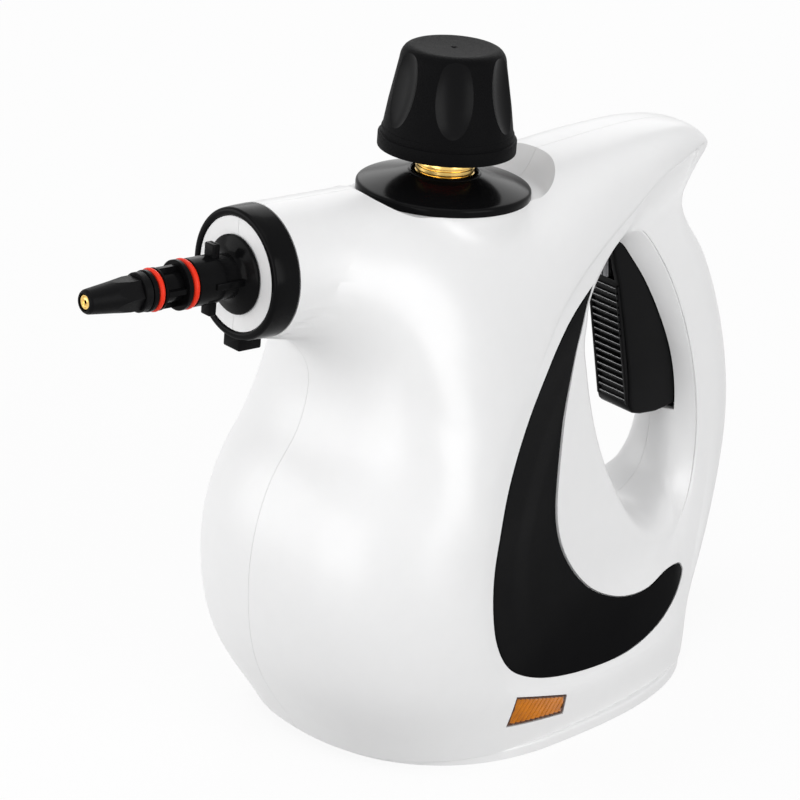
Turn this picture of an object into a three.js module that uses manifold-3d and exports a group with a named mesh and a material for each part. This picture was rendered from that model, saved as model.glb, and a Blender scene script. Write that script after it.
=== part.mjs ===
// A handheld steam cleaner as a jointed assembly, in millimetres.
// Frame: the middle of the base's underside is the origin, the nozzle points to -Y,
// +X is the side with the indicator lens and +Z is up.
import * as THREE from "three";
import { mergeVertices } from "three/addons/utils/BufferGeometryUtils.js";
import Module from "manifold-3d";

const wasm = await Module();
wasm.setup();

// Driving sizes of the whole body.
const body_length = 229;
const body_height = 204;
const body_half_width = 66;
const wall = 2.8;
const fit_gap = 0.3;
const overrun = 6;
const far = 2 * body_length;

// Places follow the body: a share of its length, its height or its half width.
const along = (share) => share * body_length;
const upward = (share) => share * body_height;
const across = (share) => share * body_half_width;
const side_point = ([y, z]) => [along(y), upward(z)];

// Base footprint.
const base_inset = 0.5;
const base_half_width = body_half_width - base_inset;
const base_middle_share = -0.0633;
const base_front_share = 0.286;
const base_rear_share = 0.4127;
const base_middle_y = along(base_middle_share);
const base_front_reach = along(base_front_share);
const base_rear_reach = along(base_rear_share);
const skirt_height = 4;
const skirt_step = 0.9;

// Head: the nozzle and the filler lean back together.
const head_tilt = THREE.MathUtils.degToRad(5.3);
const filler_shares = [-0.0646, 0.979];
const [filler_y, filler_z] = side_point(filler_shares);
const nozzle_drop = 19.2;
const nozzle_reach = 93.2;
const neck_radius = 23.8;

// Materials: colour, roughness and metalness of each finish.
const finish = (color, roughness, metalness) =>
  new THREE.MeshStandardMaterial({ color, roughness, metalness });
const finishes = {
  white_shell: () => finish(0xf4f4f3, 0.3, 0),
  black_gloss: () => finish(0x0b0b0c, 0.15, 0),
  black_matte: () => finish(0x17181a, 0.55, 0),
  red_rubber: () => finish(0xd8361f, 0.45, 0),
  dark_rubber: () => finish(0x1d1d1e, 0.8, 0),
  grey_rubber: () => finish(0x8c8f92, 0.7, 0),
  amber_lens: () => finish(0xb8720f, 0.12, 0),
  brass: () => finish(0xc9a04a, 0.28, 1),
  steel: () => finish(0xb4b7ba, 0.3, 1),
  aluminium: () => finish(0xa9acaf, 0.42, 1),
  copper_tube: () => finish(0xb8734a, 0.35, 1),
  ceramic_grey: () => finish(0xcfcac0, 0.6, 0),
};

const part = new THREE.Group();
const head = new THREE.Group();
head.position.set(0, filler_y, filler_z);
head.rotation.x = -head_tilt;
part.add(head);
head.updateMatrixWorld(true);

// Turns a closed geometry into a solid that can be joined and cut.
function solid(geometry) {
  const bare = geometry.clone();
  bare.deleteAttribute("normal");
  bare.deleteAttribute("uv");
  const merged = mergeVertices(bare, 1e-4);
  const vertProperties = new Float32Array(merged.attributes.position.array);
  const index = merged.index.array;
  const kept = [];
  for (let i = 0; i < index.length; i += 3) {
    const [a, b, c] = [index[i], index[i + 1], index[i + 2]];
    if (a !== b && b !== c && c !== a) kept.push(a, b, c);
  }
  const closed = () =>
    new wasm.Manifold(new wasm.Mesh({ numProp: 3, vertProperties, triVerts: new Uint32Array(kept) }));
  const made = closed();
  if (made.volume() > 0) return made;
  for (let i = 0; i < kept.length; i += 3) [kept[i + 1], kept[i + 2]] = [kept[i + 2], kept[i + 1]];
  return closed();
}

function geometry_of(shape) {
  const mesh = shape.getMesh();
  const count = mesh.numProp;
  const position = new Float32Array(mesh.numVert * 3);
  for (let i = 0; i < mesh.numVert; i++) {
    position.set(mesh.vertProperties.subarray(i * count, i * count + 3), i * 3);
  }
  const geometry = new THREE.BufferGeometry();
  geometry.setAttribute("position", new THREE.BufferAttribute(position, 3));
  geometry.setIndex(new THREE.BufferAttribute(new Uint32Array(mesh.triVerts), 1));
  return geometry;
}

function add(name, shape, material) {
  const geometry = geometry_of(shape);
  geometry.computeVertexNormals();
  const mesh = new THREE.Mesh(geometry, finishes[material]());
  mesh.name = name;
  part.add(mesh);
}

const joined = (shapes) => shapes.reduce((all, shape) => all.add(shape));
const cut_by = (shape, cutters) => cutters.reduce((left, cutter) => left.subtract(cutter), shape);

// A box from its lowest to its highest corner.
function block(low, high, frame = null) {
  const size = high.map((value, i) => value - low[i]);
  const geometry = new THREE.BoxGeometry(...size);
  geometry.translate(...low.map((value, i) => value + size[i] / 2));
  if (frame) geometry.applyMatrix4(frame);
  return solid(geometry);
}

// Axes that a turned or extruded shape may point along.
const lay = {
  z: new THREE.Matrix4(),
  x: new THREE.Matrix4().makeBasis(
    new THREE.Vector3(0, 1, 0),
    new THREE.Vector3(0, 0, 1),
    new THREE.Vector3(1, 0, 0),
  ),
  y: new THREE.Matrix4().makeBasis(
    new THREE.Vector3(0, 0, 1),
    new THREE.Vector3(1, 0, 0),
    new THREE.Vector3(0, 1, 0),
  ),
  front: new THREE.Matrix4().makeBasis(
    new THREE.Vector3(1, 0, 0),
    new THREE.Vector3(0, 0, 1),
    new THREE.Vector3(0, -1, 0),
  ),
};

// A turned solid: profile holds [radius, height] pairs, from the axis round to the axis or closed.
function turned(profile, sides, axis = "z", place = [0, 0, 0], frame = null) {
  const points = profile.map(([radius, height]) => new THREE.Vector2(radius, height));
  const geometry = new THREE.LatheGeometry(points, sides);
  geometry.rotateX(Math.PI / 2);
  geometry.applyMatrix4(lay[axis]);
  geometry.translate(...place);
  if (frame) geometry.applyMatrix4(frame);
  return solid(geometry);
}

const rod_profile = (radius, low, high) => [[0, low], [radius, low], [radius, high], [0, high]];
const ring_profile = (inner, outer, low, high) =>
  [[inner, low], [outer, low], [outer, high], [inner, high], [inner, low]];

// A flat outline in the Y-Z plane, pushed out from x = low to x = high.
function side_prism(points, low, high) {
  const shape = new THREE.Shape(points.map(([y, z]) => new THREE.Vector2(y, z)));
  const geometry = new THREE.ExtrudeGeometry(shape, { depth: high - low, bevelEnabled: false });
  geometry.translate(0, 0, low);
  geometry.applyMatrix4(lay.x);
  return solid(geometry);
}

// A tube along a smooth path, with an optional bore.
function pipe(path, outer, bore, sides, steps) {
  const round = (radius) => {
    const angles = Array.from({ length: sides }, (_, i) => (i / sides) * Math.PI * 2);
    return angles.map((a) => new THREE.Vector2(radius * Math.cos(a), radius * Math.sin(a)));
  };
  const shape = new THREE.Shape(round(outer));
  if (bore > 0) shape.holes.push(new THREE.Path(round(bore)));
  const curve = new THREE.CatmullRomCurve3(path.map((p) => new THREE.Vector3(...p)));
  return solid(new THREE.ExtrudeGeometry(shape, { extrudePath: curve, steps, bevelEnabled: false }));
}

// The least distance between parts of a coil that lie half a turn or more apart, measured on its points.
const coil_steps = 8;
const coil_sides = 5;
function least_self_gap(vertices, rings) {
  const point = (ring, k) => new THREE.Vector3().fromArray(vertices, (ring * coil_sides + k) * 3);
  let least = Infinity;
  for (let i = 0; i <= rings; i++) {
    for (let j = i + coil_steps / 2; j <= rings; j++) {
      for (let k = 0; k < coil_sides; k++) {
        for (let n = 0; n < coil_sides; n++) least = Math.min(least, point(i, k).distanceTo(point(j, n)));
      }
    }
  }
  return least;
}

// A compression spring about an axis: one unbroken tube along a helix.
function spring_geometry(radius, wire, length, turns) {
  const rings = turns * coil_steps;
  const vertices = [];
  const faces = [];
  for (let i = 0; i <= rings; i++) {
    const turn = (i / coil_steps) * Math.PI * 2;
    const rise = wire + (i / rings) * (length - 2 * wire);
    for (let k = 0; k < coil_sides; k++) {
      const a = (k / coil_sides) * Math.PI * 2;
      const reach = radius + wire * Math.cos(a);
      vertices.push(reach * Math.cos(turn), reach * Math.sin(turn), rise + wire * Math.sin(a));
    }
  }
  for (let i = 0; i < rings; i++) {
    for (let k = 0; k < coil_sides; k++) {
      const next = (k + 1) % coil_sides;
      const a = i * coil_sides + k;
      const b = i * coil_sides + next;
      const c = a + coil_sides;
      const d = b + coil_sides;
      faces.push(a, c, b, b, c, d);
    }
  }
  for (let k = 1; k < coil_sides - 1; k++) {
    const last = rings * coil_sides;
    faces.push(0, k, k + 1);
    faces.push(last, last + k + 1, last + k);
  }
  console.log("spring's least gap to itself, mm:", least_self_gap(vertices, rings).toFixed(2));
  const geometry = new THREE.BufferGeometry();
  geometry.setAttribute("position", new THREE.Float32BufferAttribute(vertices, 3));
  geometry.setIndex(faces);
  return geometry;
}

// The body's skin is a loft round the hand opening. Each station has four points:
// on the outline at x = 0, on the side crease, on the opening's near edge, and on the
// opening's wall at x = 0. Values are shares of the body's length, height and half width;
// the outline's first value is how full its rounding is.
const station_shares = [
  // fullness, outline y, z      crease x, y, z             edge x, y, z             wall y, z
  [[2.3, 0.485, 0.924], [0.14, 0.460, 0.934], [0.26, 0.276, 0.824], [0.262, 0.780]],
  [[2.8, 0.440, 0.974], [0.21, 0.405, 0.930], [0.26, 0.262, 0.824], [0.255, 0.782]],
  [[3.3, 0.360, 0.996], [0.27, 0.345, 0.920], [0.27, 0.250, 0.820], [0.245, 0.780]],
  [[3.4, 0.250, 1.001], [0.33, 0.260, 0.876], [0.28, 0.225, 0.800], [0.228, 0.768]],
  [[3.0, 0.130, 0.999], [0.42, 0.150, 0.822], [0.31, 0.190, 0.765], [0.203, 0.742]],
  [[2.3, 0.000, 1.004], [0.50, 0.060, 0.758], [0.36, 0.156, 0.730], [0.182, 0.712]],
  [[2.1, -0.130, 1.015], [0.61, -0.010, 0.700], [0.41, 0.133, 0.690], [0.165, 0.680]],
  [[2.0, -0.255, 1.012], [0.72, -0.070, 0.655], [0.43, 0.124, 0.655], [0.157, 0.655]],
  [[1.9, -0.325, 0.935], [0.79, -0.115, 0.605], [0.45, 0.125, 0.610], [0.156, 0.615]],
  [[1.9, -0.336, 0.790], [0.85, -0.150, 0.555], [0.47, 0.127, 0.560], [0.158, 0.565]],
  [[2.1, -0.337, 0.680], [0.90, -0.176, 0.500], [0.49, 0.132, 0.510], [0.164, 0.515]],
  [[2.2, -0.361, 0.600], [0.94, -0.193, 0.440], [0.50, 0.142, 0.460], [0.176, 0.465]],
  [[2.25, -0.413, 0.525], [0.96, -0.206, 0.375], [0.51, 0.158, 0.400], [0.195, 0.410]],
  [[2.3, -0.450, 0.420], [0.985, -0.212, 0.300], [0.51, 0.182, 0.345], [0.218, 0.355]],
  [[2.3, -0.462, 0.300], [1.00, -0.205, 0.225], [0.51, 0.205, 0.300], [0.240, 0.310]],
  [[2.3, -0.445, 0.165], [1.00, -0.175, 0.155], [0.50, 0.232, 0.262], [0.265, 0.280]],
  [[2.3, -0.360, 0.000], [1.00, -0.110, 0.120], [0.48, 0.258, 0.235], [0.290, 0.262]],
  [[2.3, -0.200, -0.350], [0.98, -0.020, 0.100], [0.46, 0.280, 0.218], [0.312, 0.257]],
  [[2.3, 0.050, -0.500], [0.94, 0.080, 0.090], [0.44, 0.305, 0.208], [0.330, 0.262]],
  [[2.3, 0.255, -0.380], [0.86, 0.180, 0.085], [0.41, 0.328, 0.202], [0.350, 0.275]],
  [[2.3, 0.350, -0.120], [0.74, 0.265, 0.085], [0.38, 0.350, 0.205], [0.368, 0.295]],
  [[2.3, 0.400, 0.060], [0.56, 0.335, 0.100], [0.34, 0.378, 0.222], [0.381, 0.325]],
  [[2.2, 0.470, 0.170], [0.38, 0.405, 0.165], [0.30, 0.408, 0.262], [0.390, 0.370]],
  [[2.1, 0.522, 0.290], [0.28, 0.452, 0.275], [0.27, 0.428, 0.330], [0.393, 0.430]],
  [[2.1, 0.537, 0.400], [0.26, 0.467, 0.390], [0.26, 0.432, 0.410], [0.392, 0.490]],
  [[2.1, 0.530, 0.510], [0.26, 0.458, 0.500], [0.26, 0.422, 0.505], [0.380, 0.555]],
  [[2.1, 0.508, 0.620], [0.26, 0.436, 0.612], [0.26, 0.398, 0.610], [0.352, 0.625]],
  [[2.1, 0.470, 0.730], [0.26, 0.404, 0.720], [0.26, 0.362, 0.710], [0.314, 0.700]],
  [[2.1, 0.428, 0.800], [0.25, 0.380, 0.790], [0.26, 0.325, 0.780], [0.285, 0.745]],
  [[2.1, 0.410, 0.850], [0.22, 0.385, 0.850], [0.26, 0.300, 0.815], [0.272, 0.768]],
  [[2.1, 0.440, 0.888], [0.17, 0.425, 0.890], [0.26, 0.288, 0.822], [0.266, 0.776]],
];
const skin_detail = { stations: 40, outline: 5, crease: 2, edge: 3 };
const lining_detail = { stations: 28, outline: 3, crease: 1, edge: 2 };

const loop_points = [
  station_shares.map(([o]) => new THREE.Vector3(0, along(o[1]), upward(o[2]))),
  station_shares.map(([, k]) => new THREE.Vector3(across(k[0]), along(k[1]), upward(k[2]))),
  station_shares.map(([, , e]) => new THREE.Vector3(across(e[0]), along(e[1]), upward(e[2]))),
  station_shares.map(([, , , i]) => new THREE.Vector3(0, along(i[0]), upward(i[1]))),
  station_shares.map(([o]) => new THREE.Vector3(o[0], 0, 0)),
];
const loops = loop_points.map((points) => new THREE.CatmullRomCurve3(points, true, "centripetal"));

// The skin flares forward round the neck, so that the neck grows out of the body.
const skin_flare = 24;
const flare_from_y = -32;
const flare_full_y = -62;
const to_head = head.matrixWorld.clone().invert();
function flared(point, flare_radius) {
  const local = point.clone().applyMatrix4(to_head);
  const beside = Math.max(Math.hypot(local.x, local.z + nozzle_drop) - neck_radius, 0);
  if (beside >= flare_radius) return point;
  const front = THREE.MathUtils.smoothstep(flare_from_y - point.y, 0, flare_from_y - flare_full_y);
  const reach = flare_radius - Math.sqrt(flare_radius ** 2 - (flare_radius - beside) ** 2);
  return point.setY(point.y - reach * front);
}

// One half section of the skin at a place round the opening, from outline to opening wall.
function half_section(turn, detail, flare) {
  const [outline, crease, edge, opening, fullness] = loops.map((loop) => loop.getPoint(turn));
  const section = [];
  const power = 2 / fullness.x;
  for (let i = 0; i < detail.outline; i++) {
    const a = (i / detail.outline) * (Math.PI / 2);
    const point = outline.clone().lerp(crease, 1 - Math.cos(a) ** power);
    point.x = crease.x * Math.sin(a) ** power;
    section.push(point);
  }
  for (let i = 0; i < detail.crease; i++) {
    section.push(crease.clone().lerp(edge, i / detail.crease));
  }
  for (let i = 0; i <= detail.edge; i++) {
    const a = (i / detail.edge) * (Math.PI / 2);
    const point = edge.clone().lerp(opening, Math.sin(a));
    point.x = edge.x * Math.cos(a);
    section.push(point);
  }
  section[section.length - 1].x = 0;
  return flare > 0 ? section.map((point) => flared(point, flare)) : section;
}

// The whole skin as a closed ring of sections, moved inwards by an inset along its normals.
function skin_solid(inset, detail, flare) {
  const rows = [];
  for (let s = 0; s < detail.stations; s++) {
    const half = half_section(s / detail.stations, detail, flare);
    const other = half.slice(1, -1).reverse().map((p) => new THREE.Vector3(-p.x, p.y, p.z));
    rows.push([...half, ...other]);
  }
  const width = rows[0].length;
  const positions = rows.flatMap((row) => row.flatMap((p) => [p.x, p.y, p.z]));
  const faces = [];
  for (let s = 0; s < detail.stations; s++) {
    const next_row = (s + 1) % detail.stations;
    for (let k = 0; k < width; k++) {
      const next = (k + 1) % width;
      const a = s * width + k;
      const b = s * width + next;
      const c = next_row * width + k;
      const d = next_row * width + next;
      faces.push(a, c, b, b, c, d);
    }
  }
  const geometry = new THREE.BufferGeometry();
  geometry.setAttribute("position", new THREE.Float32BufferAttribute(positions, 3));
  geometry.setIndex(faces);
  geometry.computeVertexNormals();
  const place = geometry.attributes.position;
  const normal = geometry.attributes.normal;
  for (let i = 0; i < place.count; i++) {
    place.setXYZ(
      i,
      place.getX(i) - inset * normal.getX(i),
      place.getY(i) - inset * normal.getY(i),
      place.getZ(i) - inset * normal.getZ(i),
    );
  }
  return solid(geometry);
}
const skin = (inset) => skin_solid(inset, skin_detail, skin_flare);
const outer_skin = skin(0);
const lining = skin_solid(wall, lining_detail, 0);
const wall_core = skin_solid(wall / 2, lining_detail, 0);

// Pieces turned about the filler's axis, and about the nozzle's axis with heights counted forward.
const round_sides = 24;
const small_sides = 12;
const bore_sides = 8;
const ring_sides = 18;
const tube_steps = 15;
const nozzle_place = [0, -nozzle_reach, -nozzle_drop];
const on_filler = (profile, sides = round_sides) =>
  turned(profile, sides, "z", [0, 0, 0], head.matrixWorld);
const on_nozzle = (profile, sides = round_sides) =>
  turned(profile, sides, "front", nozzle_place, head.matrixWorld);

// The neck behind the nozzle collar, with the nose that the collar sits on.
const neck_run = 62;
const collar_depth = 10.5;
const collar_front_radius = 23;
const nose_radius = 20.4;
const nose_recess = 0.8;
function neck_solid(inset) {
  const neck = rod_profile(neck_radius - inset, -neck_run, -collar_depth - fit_gap - inset);
  const nose = rod_profile(nose_radius - inset, -neck_run + wall, -nose_recess - inset);
  return on_nozzle(neck).add(on_nozzle(nose));
}
const neck_front = on_nozzle(rod_profile(far, -collar_depth - fit_gap, far), small_sides);

// The round seat under the filler disc, and the dish cut into the top of the body.
const seat_radius = 32;
const seat_drop = 16;
const dish_floor = 0.9;
const dish_radius = 35.5;
const dish_rim_radius = 45;
const dish_rise = 7.5;
const dish_top = 40;
const seat_solid = (inset) =>
  on_filler(rod_profile(seat_radius - inset, -seat_drop, -dish_floor - inset));
function dish_cutter(grow) {
  const slope = (dish_rim_radius - dish_radius) / dish_rise;
  return on_filler([
    [0, -dish_floor - grow],
    [dish_radius + grow / 2, -dish_floor - grow],
    [dish_rim_radius + grow, dish_rise - dish_floor],
    [dish_rim_radius + grow + dish_top * slope, dish_rise - dish_floor + dish_top],
    [0, dish_rise - dish_floor + dish_top],
  ]);
}

// The base outline: a blunt ellipse in front and a squarer one behind.
const front_squareness_share = 2.2;
const rear_squareness_share = 2.7;
const base_outline_points = 40;
function base_outline(inset) {
  const points = [];
  for (let i = 0; i < base_outline_points; i++) {
    const a = (i / base_outline_points) * Math.PI * 2;
    const [c, s] = [Math.cos(a), Math.sin(a)];
    const power = 2 / (s < 0 ? front_squareness_share : rear_squareness_share);
    const reach = (s < 0 ? base_front_reach : base_rear_reach) - inset;
    const x = (base_half_width - inset) * Math.sign(c) * Math.abs(c) ** power;
    const y = base_middle_y + reach * Math.sign(s) * Math.abs(s) ** power;
    points.push(new THREE.Vector2(x, y));
  }
  return points;
}
function upright_prism(points, low, high) {
  const shape = new THREE.Shape(points);
  const geometry = new THREE.ExtrudeGeometry(shape, { depth: high - low, bevelEnabled: false });
  geometry.translate(0, 0, low);
  return solid(geometry);
}

const below_skirt = block([-far, -far, -far], [far, far, skirt_height - skirt_step]);
const outer_body = joined([
  outer_skin.subtract(neck_front).subtract(below_skirt),
  upright_prism(base_outline(0), 0, skirt_height),
  neck_solid(0),
  seat_solid(0),
]).subtract(dish_cutter(0));
const inner_body = joined([
  lining.subtract(below_skirt),
  upright_prism(base_outline(wall), -overrun, skirt_height),
  neck_solid(wall),
  seat_solid(wall),
]).subtract(dish_cutter(wall));

// Side inlays and the lens are outlines seen from the side, in shares of the body's length
// and height.
const crescent_outer_shares = [
  [0.166, 0.757], [0.072, 0.710], [-0.017, 0.646], [-0.090, 0.568], [-0.144, 0.485], [-0.178, 0.392],
  [-0.191, 0.310], [-0.185, 0.237], [-0.153, 0.177], [-0.090, 0.138], [0.005, 0.114], [0.120, 0.104],
  [0.230, 0.112], [0.322, 0.133],
];
const crescent_end_shares = [[0.343, 0.142], [0.337, 0.160]];
const crescent_inner_shares = [
  [0.292, 0.166], [0.220, 0.163], [0.153, 0.177], [0.092, 0.215], [0.044, 0.272], [0.014, 0.336],
  [0.007, 0.400], [0.022, 0.474], [0.055, 0.567], [0.103, 0.660], [0.158, 0.745],
];
const crescent_shares = [...crescent_outer_shares, ...crescent_end_shares, ...crescent_inner_shares];
const crescent_outline = crescent_shares.map(side_point);
const lens_outline_shares = [
  [-0.150, 0.126], [-0.157, 0.120], [-0.165, 0.068], [-0.048, 0.052], [-0.041, 0.088],
];
const lens_outline = lens_outline_shares.map(side_point);

// Grows an outline by a margin along the bisectors of its corners.
const sharpest_corner_share = 0.5;
function grown(points, margin) {
  const around = (i) => points[(i + points.length) % points.length];
  const turn = points.reduce((sum, [y, z], i) => sum + y * around(i + 1)[1] - around(i + 1)[0] * z, 0);
  const way = Math.sign(turn);
  return points.map(([y, z], i) => {
    const before = new THREE.Vector2(y - around(i - 1)[0], z - around(i - 1)[1]).normalize();
    const after = new THREE.Vector2(around(i + 1)[0] - y, around(i + 1)[1] - z).normalize();
    const out = new THREE.Vector2(before.y + after.y, -before.x - after.x).normalize();
    const spread = Math.max(out.x * before.y - out.y * before.x, sharpest_corner_share);
    return [y + (way * margin * out.x) / spread, z + (way * margin * out.y) / spread];
  });
}

// Mirrors a solid to the other side of the middle plane.
function mirrored(shape) {
  const geometry = geometry_of(shape);
  geometry.scale(-1, 1, 1);
  return solid(geometry);
}

const panel_thickness = 1.3;
const inlay_reach = body_half_width + overrun;
const inlay_low_share = 0.25;
const inlay_low_x = across(inlay_low_share);
const crescent_pocket = side_prism(grown(crescent_outline, fit_gap), inlay_low_x, inlay_reach)
  .subtract(skin(panel_thickness + fit_gap));
const crescent_panel = side_prism(crescent_outline, inlay_low_x, inlay_reach)
  .intersect(outer_skin).subtract(skin(panel_thickness));

const lens_depth = 3.4;
const lens_low_share = 0.75;
const lens_low_x = across(lens_low_share);
const lens_piece = side_prism(lens_outline, lens_low_x, inlay_reach)
  .intersect(outer_skin).subtract(skin(lens_depth));
const lens_hole = side_prism(grown(lens_outline, fit_gap), lens_low_x, inlay_reach);

// Screws along X hold the two halves together: places are [y, z] in the Y-Z plane.
const seam_screw_shares = [[-0.376, 0.235], [-0.253, 0.716], [0.367, 0.931], [0.467, 0.324]];
const seam_screw_places = seam_screw_shares.map(side_point);
const screw_radius = 1.5;
const screw_hole_radius = screw_radius + fit_gap;
const screw_head_radius = 3;
const screw_head_height = 2.2;
const boss_radius = 5;
const seam_screw_head_x = -10;
const seam_screw_tip_x = 9;
const seam_tunnel_radius = screw_head_radius + fit_gap;
// A rod along X at a place in the Y-Z plane, and a rod along Z at a place in the X-Y plane.
const side_rod = ([y, z], radius, low, high, sides) =>
  turned(rod_profile(radius, low, high), sides, "x", [0, y, z]);
const upright_rod = ([x, y], radius, low, high, sides) =>
  turned(rod_profile(radius, low, high), sides, "z", [x, y, 0]);
function seam_screw(place) {
  const head_start_x = seam_screw_head_x - screw_head_height;
  const shank_x = seam_screw_head_x - screw_head_height / 2;
  const shank = side_rod(place, screw_radius, shank_x, seam_screw_tip_x, small_sides);
  return shank.add(side_rod(place, screw_head_radius, head_start_x, seam_screw_head_x, small_sides));
}
const seam_boss = (place) => side_rod(place, boss_radius, -far, far, bore_sides).intersect(wall_core);
const seam_bore = (place) =>
  side_rod(place, screw_hole_radius, seam_screw_head_x - overrun, seam_screw_tip_x + fit_gap, bore_sides)
    .add(side_rod(place, seam_tunnel_radius, -far, seam_screw_head_x + fit_gap, bore_sides));

// Screws from below hold the base plate: places are [x, y].
const base_point = ([x, y]) => [x * base_half_width, along(y)];
const base_screw_shares = [[0.702, -0.166], [-0.702, -0.166], [0.702, 0.131], [-0.702, 0.131]];
const base_screw_places = base_screw_shares.map(base_point);
const plate_thickness = 3.2;
const plate_counterbore = 2.6;
const base_boss_top = 22;
const base_boss_foot = 6.2;
const base_screw_tip = 17;
const base_rib_half = 1.2;
function base_boss([x, y]) {
  const boss = upright_rod([x, y], boss_radius, base_boss_foot, base_boss_top, bore_sides);
  const low = [Math.min(x, Math.sign(x) * far), y - base_rib_half, base_boss_foot];
  const high = [Math.max(x, Math.sign(x) * far), y + base_rib_half, base_boss_top];
  return boss.add(block(low, high)).intersect(wall_core);
}
const base_bore = (place) =>
  upright_rod(place, screw_hole_radius, 0, base_screw_tip + fit_gap, bore_sides);
const base_screw_head_top = plate_counterbore - fit_gap;
function base_screw(place) {
  const shank = upright_rod(place, screw_radius, base_screw_head_top / 2, base_screw_tip, small_sides);
  return shank.add(upright_rod(place, screw_head_radius, fit_gap, base_screw_head_top, small_sides));
}

// Trigger: its side outline and the slot that it swings in.
const pivot_shares = [0.271, 0.843];
const [pivot_y, pivot_z] = side_point(pivot_shares);
const pin_radius = 2;
const pin_reach_share = 0.2424;
const pin_half_length = across(pin_reach_share);
const trigger_half_width = 9.5;
const trigger_side_gap = 0.5;
const arm_half_width = 4;
const arm_low_shares = [0.236, 0.814];
const arm_high_shares = [0.288, 0.946];
const [arm_front_y, arm_low_z] = side_point(arm_low_shares);
const [arm_rear_y, arm_top_z] = side_point(arm_high_shares);
const trigger_outline_shares = [
  [0.264, 0.775], [0.271, 0.735], [0.279, 0.701], [0.292, 0.618], [0.303, 0.529], [0.308, 0.451],
  [0.314, 0.437], [0.332, 0.429], [0.367, 0.424], [0.397, 0.426], [0.424, 0.431], [0.425, 0.471],
  [0.419, 0.510], [0.404, 0.593], [0.376, 0.676], [0.345, 0.740], [0.319, 0.804], [0.288, 0.863],
  [0.253, 0.863],
];
const slot_outline_shares = [
  [0.240, 0.588], [0.240, 0.824], [0.349, 0.824], [0.402, 0.721],
  [0.437, 0.608], [0.450, 0.490], [0.450, 0.417], [0.341, 0.417],
];
const trigger_outline = trigger_outline_shares.map(side_point);
const slot_outline = slot_outline_shares.map(side_point);
const slot_half_width = trigger_half_width + trigger_side_gap;
const trigger_slot = side_prism(slot_outline, -slot_half_width, slot_half_width);
const hole_radius = pin_radius + fit_gap;
const pivot_place = [pivot_y, pivot_z];
const pin_bosses = side_rod(pivot_place, boss_radius, -far, far, bore_sides)
  .intersect(wall_core)
  .subtract(block([-slot_half_width, -far, -far], [slot_half_width, far, far]));
const pin_bore_reach = pin_half_length + fit_gap;
const pin_bore = side_rod(pivot_place, hole_radius, -pin_bore_reach, pin_bore_reach, bore_sides);

// Cord inlet bush at the heel.
const bush_shares = [0.371, 0.103];
const [bush_flange_y, bush_z] = side_point(bush_shares);
const bush_radius = 5;
const bush_flange_radius = 7;
const bush_flange_thickness = 2.5;
const bush_end_share = 0.463;
const bush_end_y = along(bush_end_share);
const bush_bore_radius = 3;
const bush_hole_profile = rod_profile(bush_radius + fit_gap, bush_flange_y, far);
const bush_hole = turned(bush_hole_profile, small_sides, "y", [0, 0, bush_z]);

// The two shell halves.
const filler_hole_radius = 11;
const nose_hole_radius = 9.8;
const nose_hole_run = 20;
const filler_hole = on_filler(rod_profile(filler_hole_radius, -seat_drop, seat_drop), round_sides);
const nose_hole = on_nozzle(rod_profile(nose_hole_radius, -nose_hole_run, nose_hole_run), round_sides);
const seam_gap = fit_gap / 2;
const left_side = block([seam_gap, -far, -far], [far, far, far]);
const right_side = block([-far, -far, -far], [-seam_gap, far, far]);
const seam_bosses = seam_screw_places.map(seam_boss);
const bosses = joined([...seam_bosses, ...base_screw_places.map(base_boss), pin_bosses]);
const shell = cut_by(outer_body.subtract(inner_body).add(bosses), [
  crescent_pocket,
  mirrored(crescent_pocket),
  ...seam_screw_places.map(seam_bore),
  ...base_screw_places.map(base_bore),
  pin_bore,
  trigger_slot,
  bush_hole,
  filler_hole,
  nose_hole,
]);
add("left_shell", shell.intersect(left_side).subtract(lens_hole), "white_shell");
add("right_shell", shell.intersect(right_side), "white_shell");
add("left_crescent_panel", crescent_panel, "black_matte");
add("right_crescent_panel", mirrored(crescent_panel), "black_matte");
add("indicator_lens", lens_piece, "amber_lens");
seam_screw_places.forEach((place, i) => add("seam_screw_" + (i + 1), seam_screw(place), "steel"));

const bush_profile = [
  [bush_bore_radius, bush_flange_y - bush_flange_thickness],
  [bush_flange_radius, bush_flange_y - bush_flange_thickness],
  [bush_flange_radius, bush_flange_y],
  [bush_radius, bush_flange_y],
  [bush_radius, bush_end_y],
  [bush_bore_radius, bush_end_y],
  [bush_bore_radius, bush_flange_y - bush_flange_thickness],
];
add("cord_inlet_bush", turned(bush_profile, small_sides, "y", [0, 0, bush_z]), "dark_rubber");

// Boiler sizes that the base plate's posts follow.
const boiler_shares = [-0.1135, 0.343];
const [boiler_y, boiler_split_z] = side_point(boiler_shares);
const boiler_radius_share = 0.621;
const boiler_radius = across(boiler_radius_share);
const boiler_wall = 2;
const boiler_bottom_z = 27;
const flange_width = 9;
const flange_radius = boiler_radius + flange_width;
const flange_thickness = 4;
const post_inset = 5;
const post_circle_radius = boiler_radius - post_inset;
const post_radius = 4;
const post_angles = [45, 135, 225, 315].map(THREE.MathUtils.degToRad);

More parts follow.
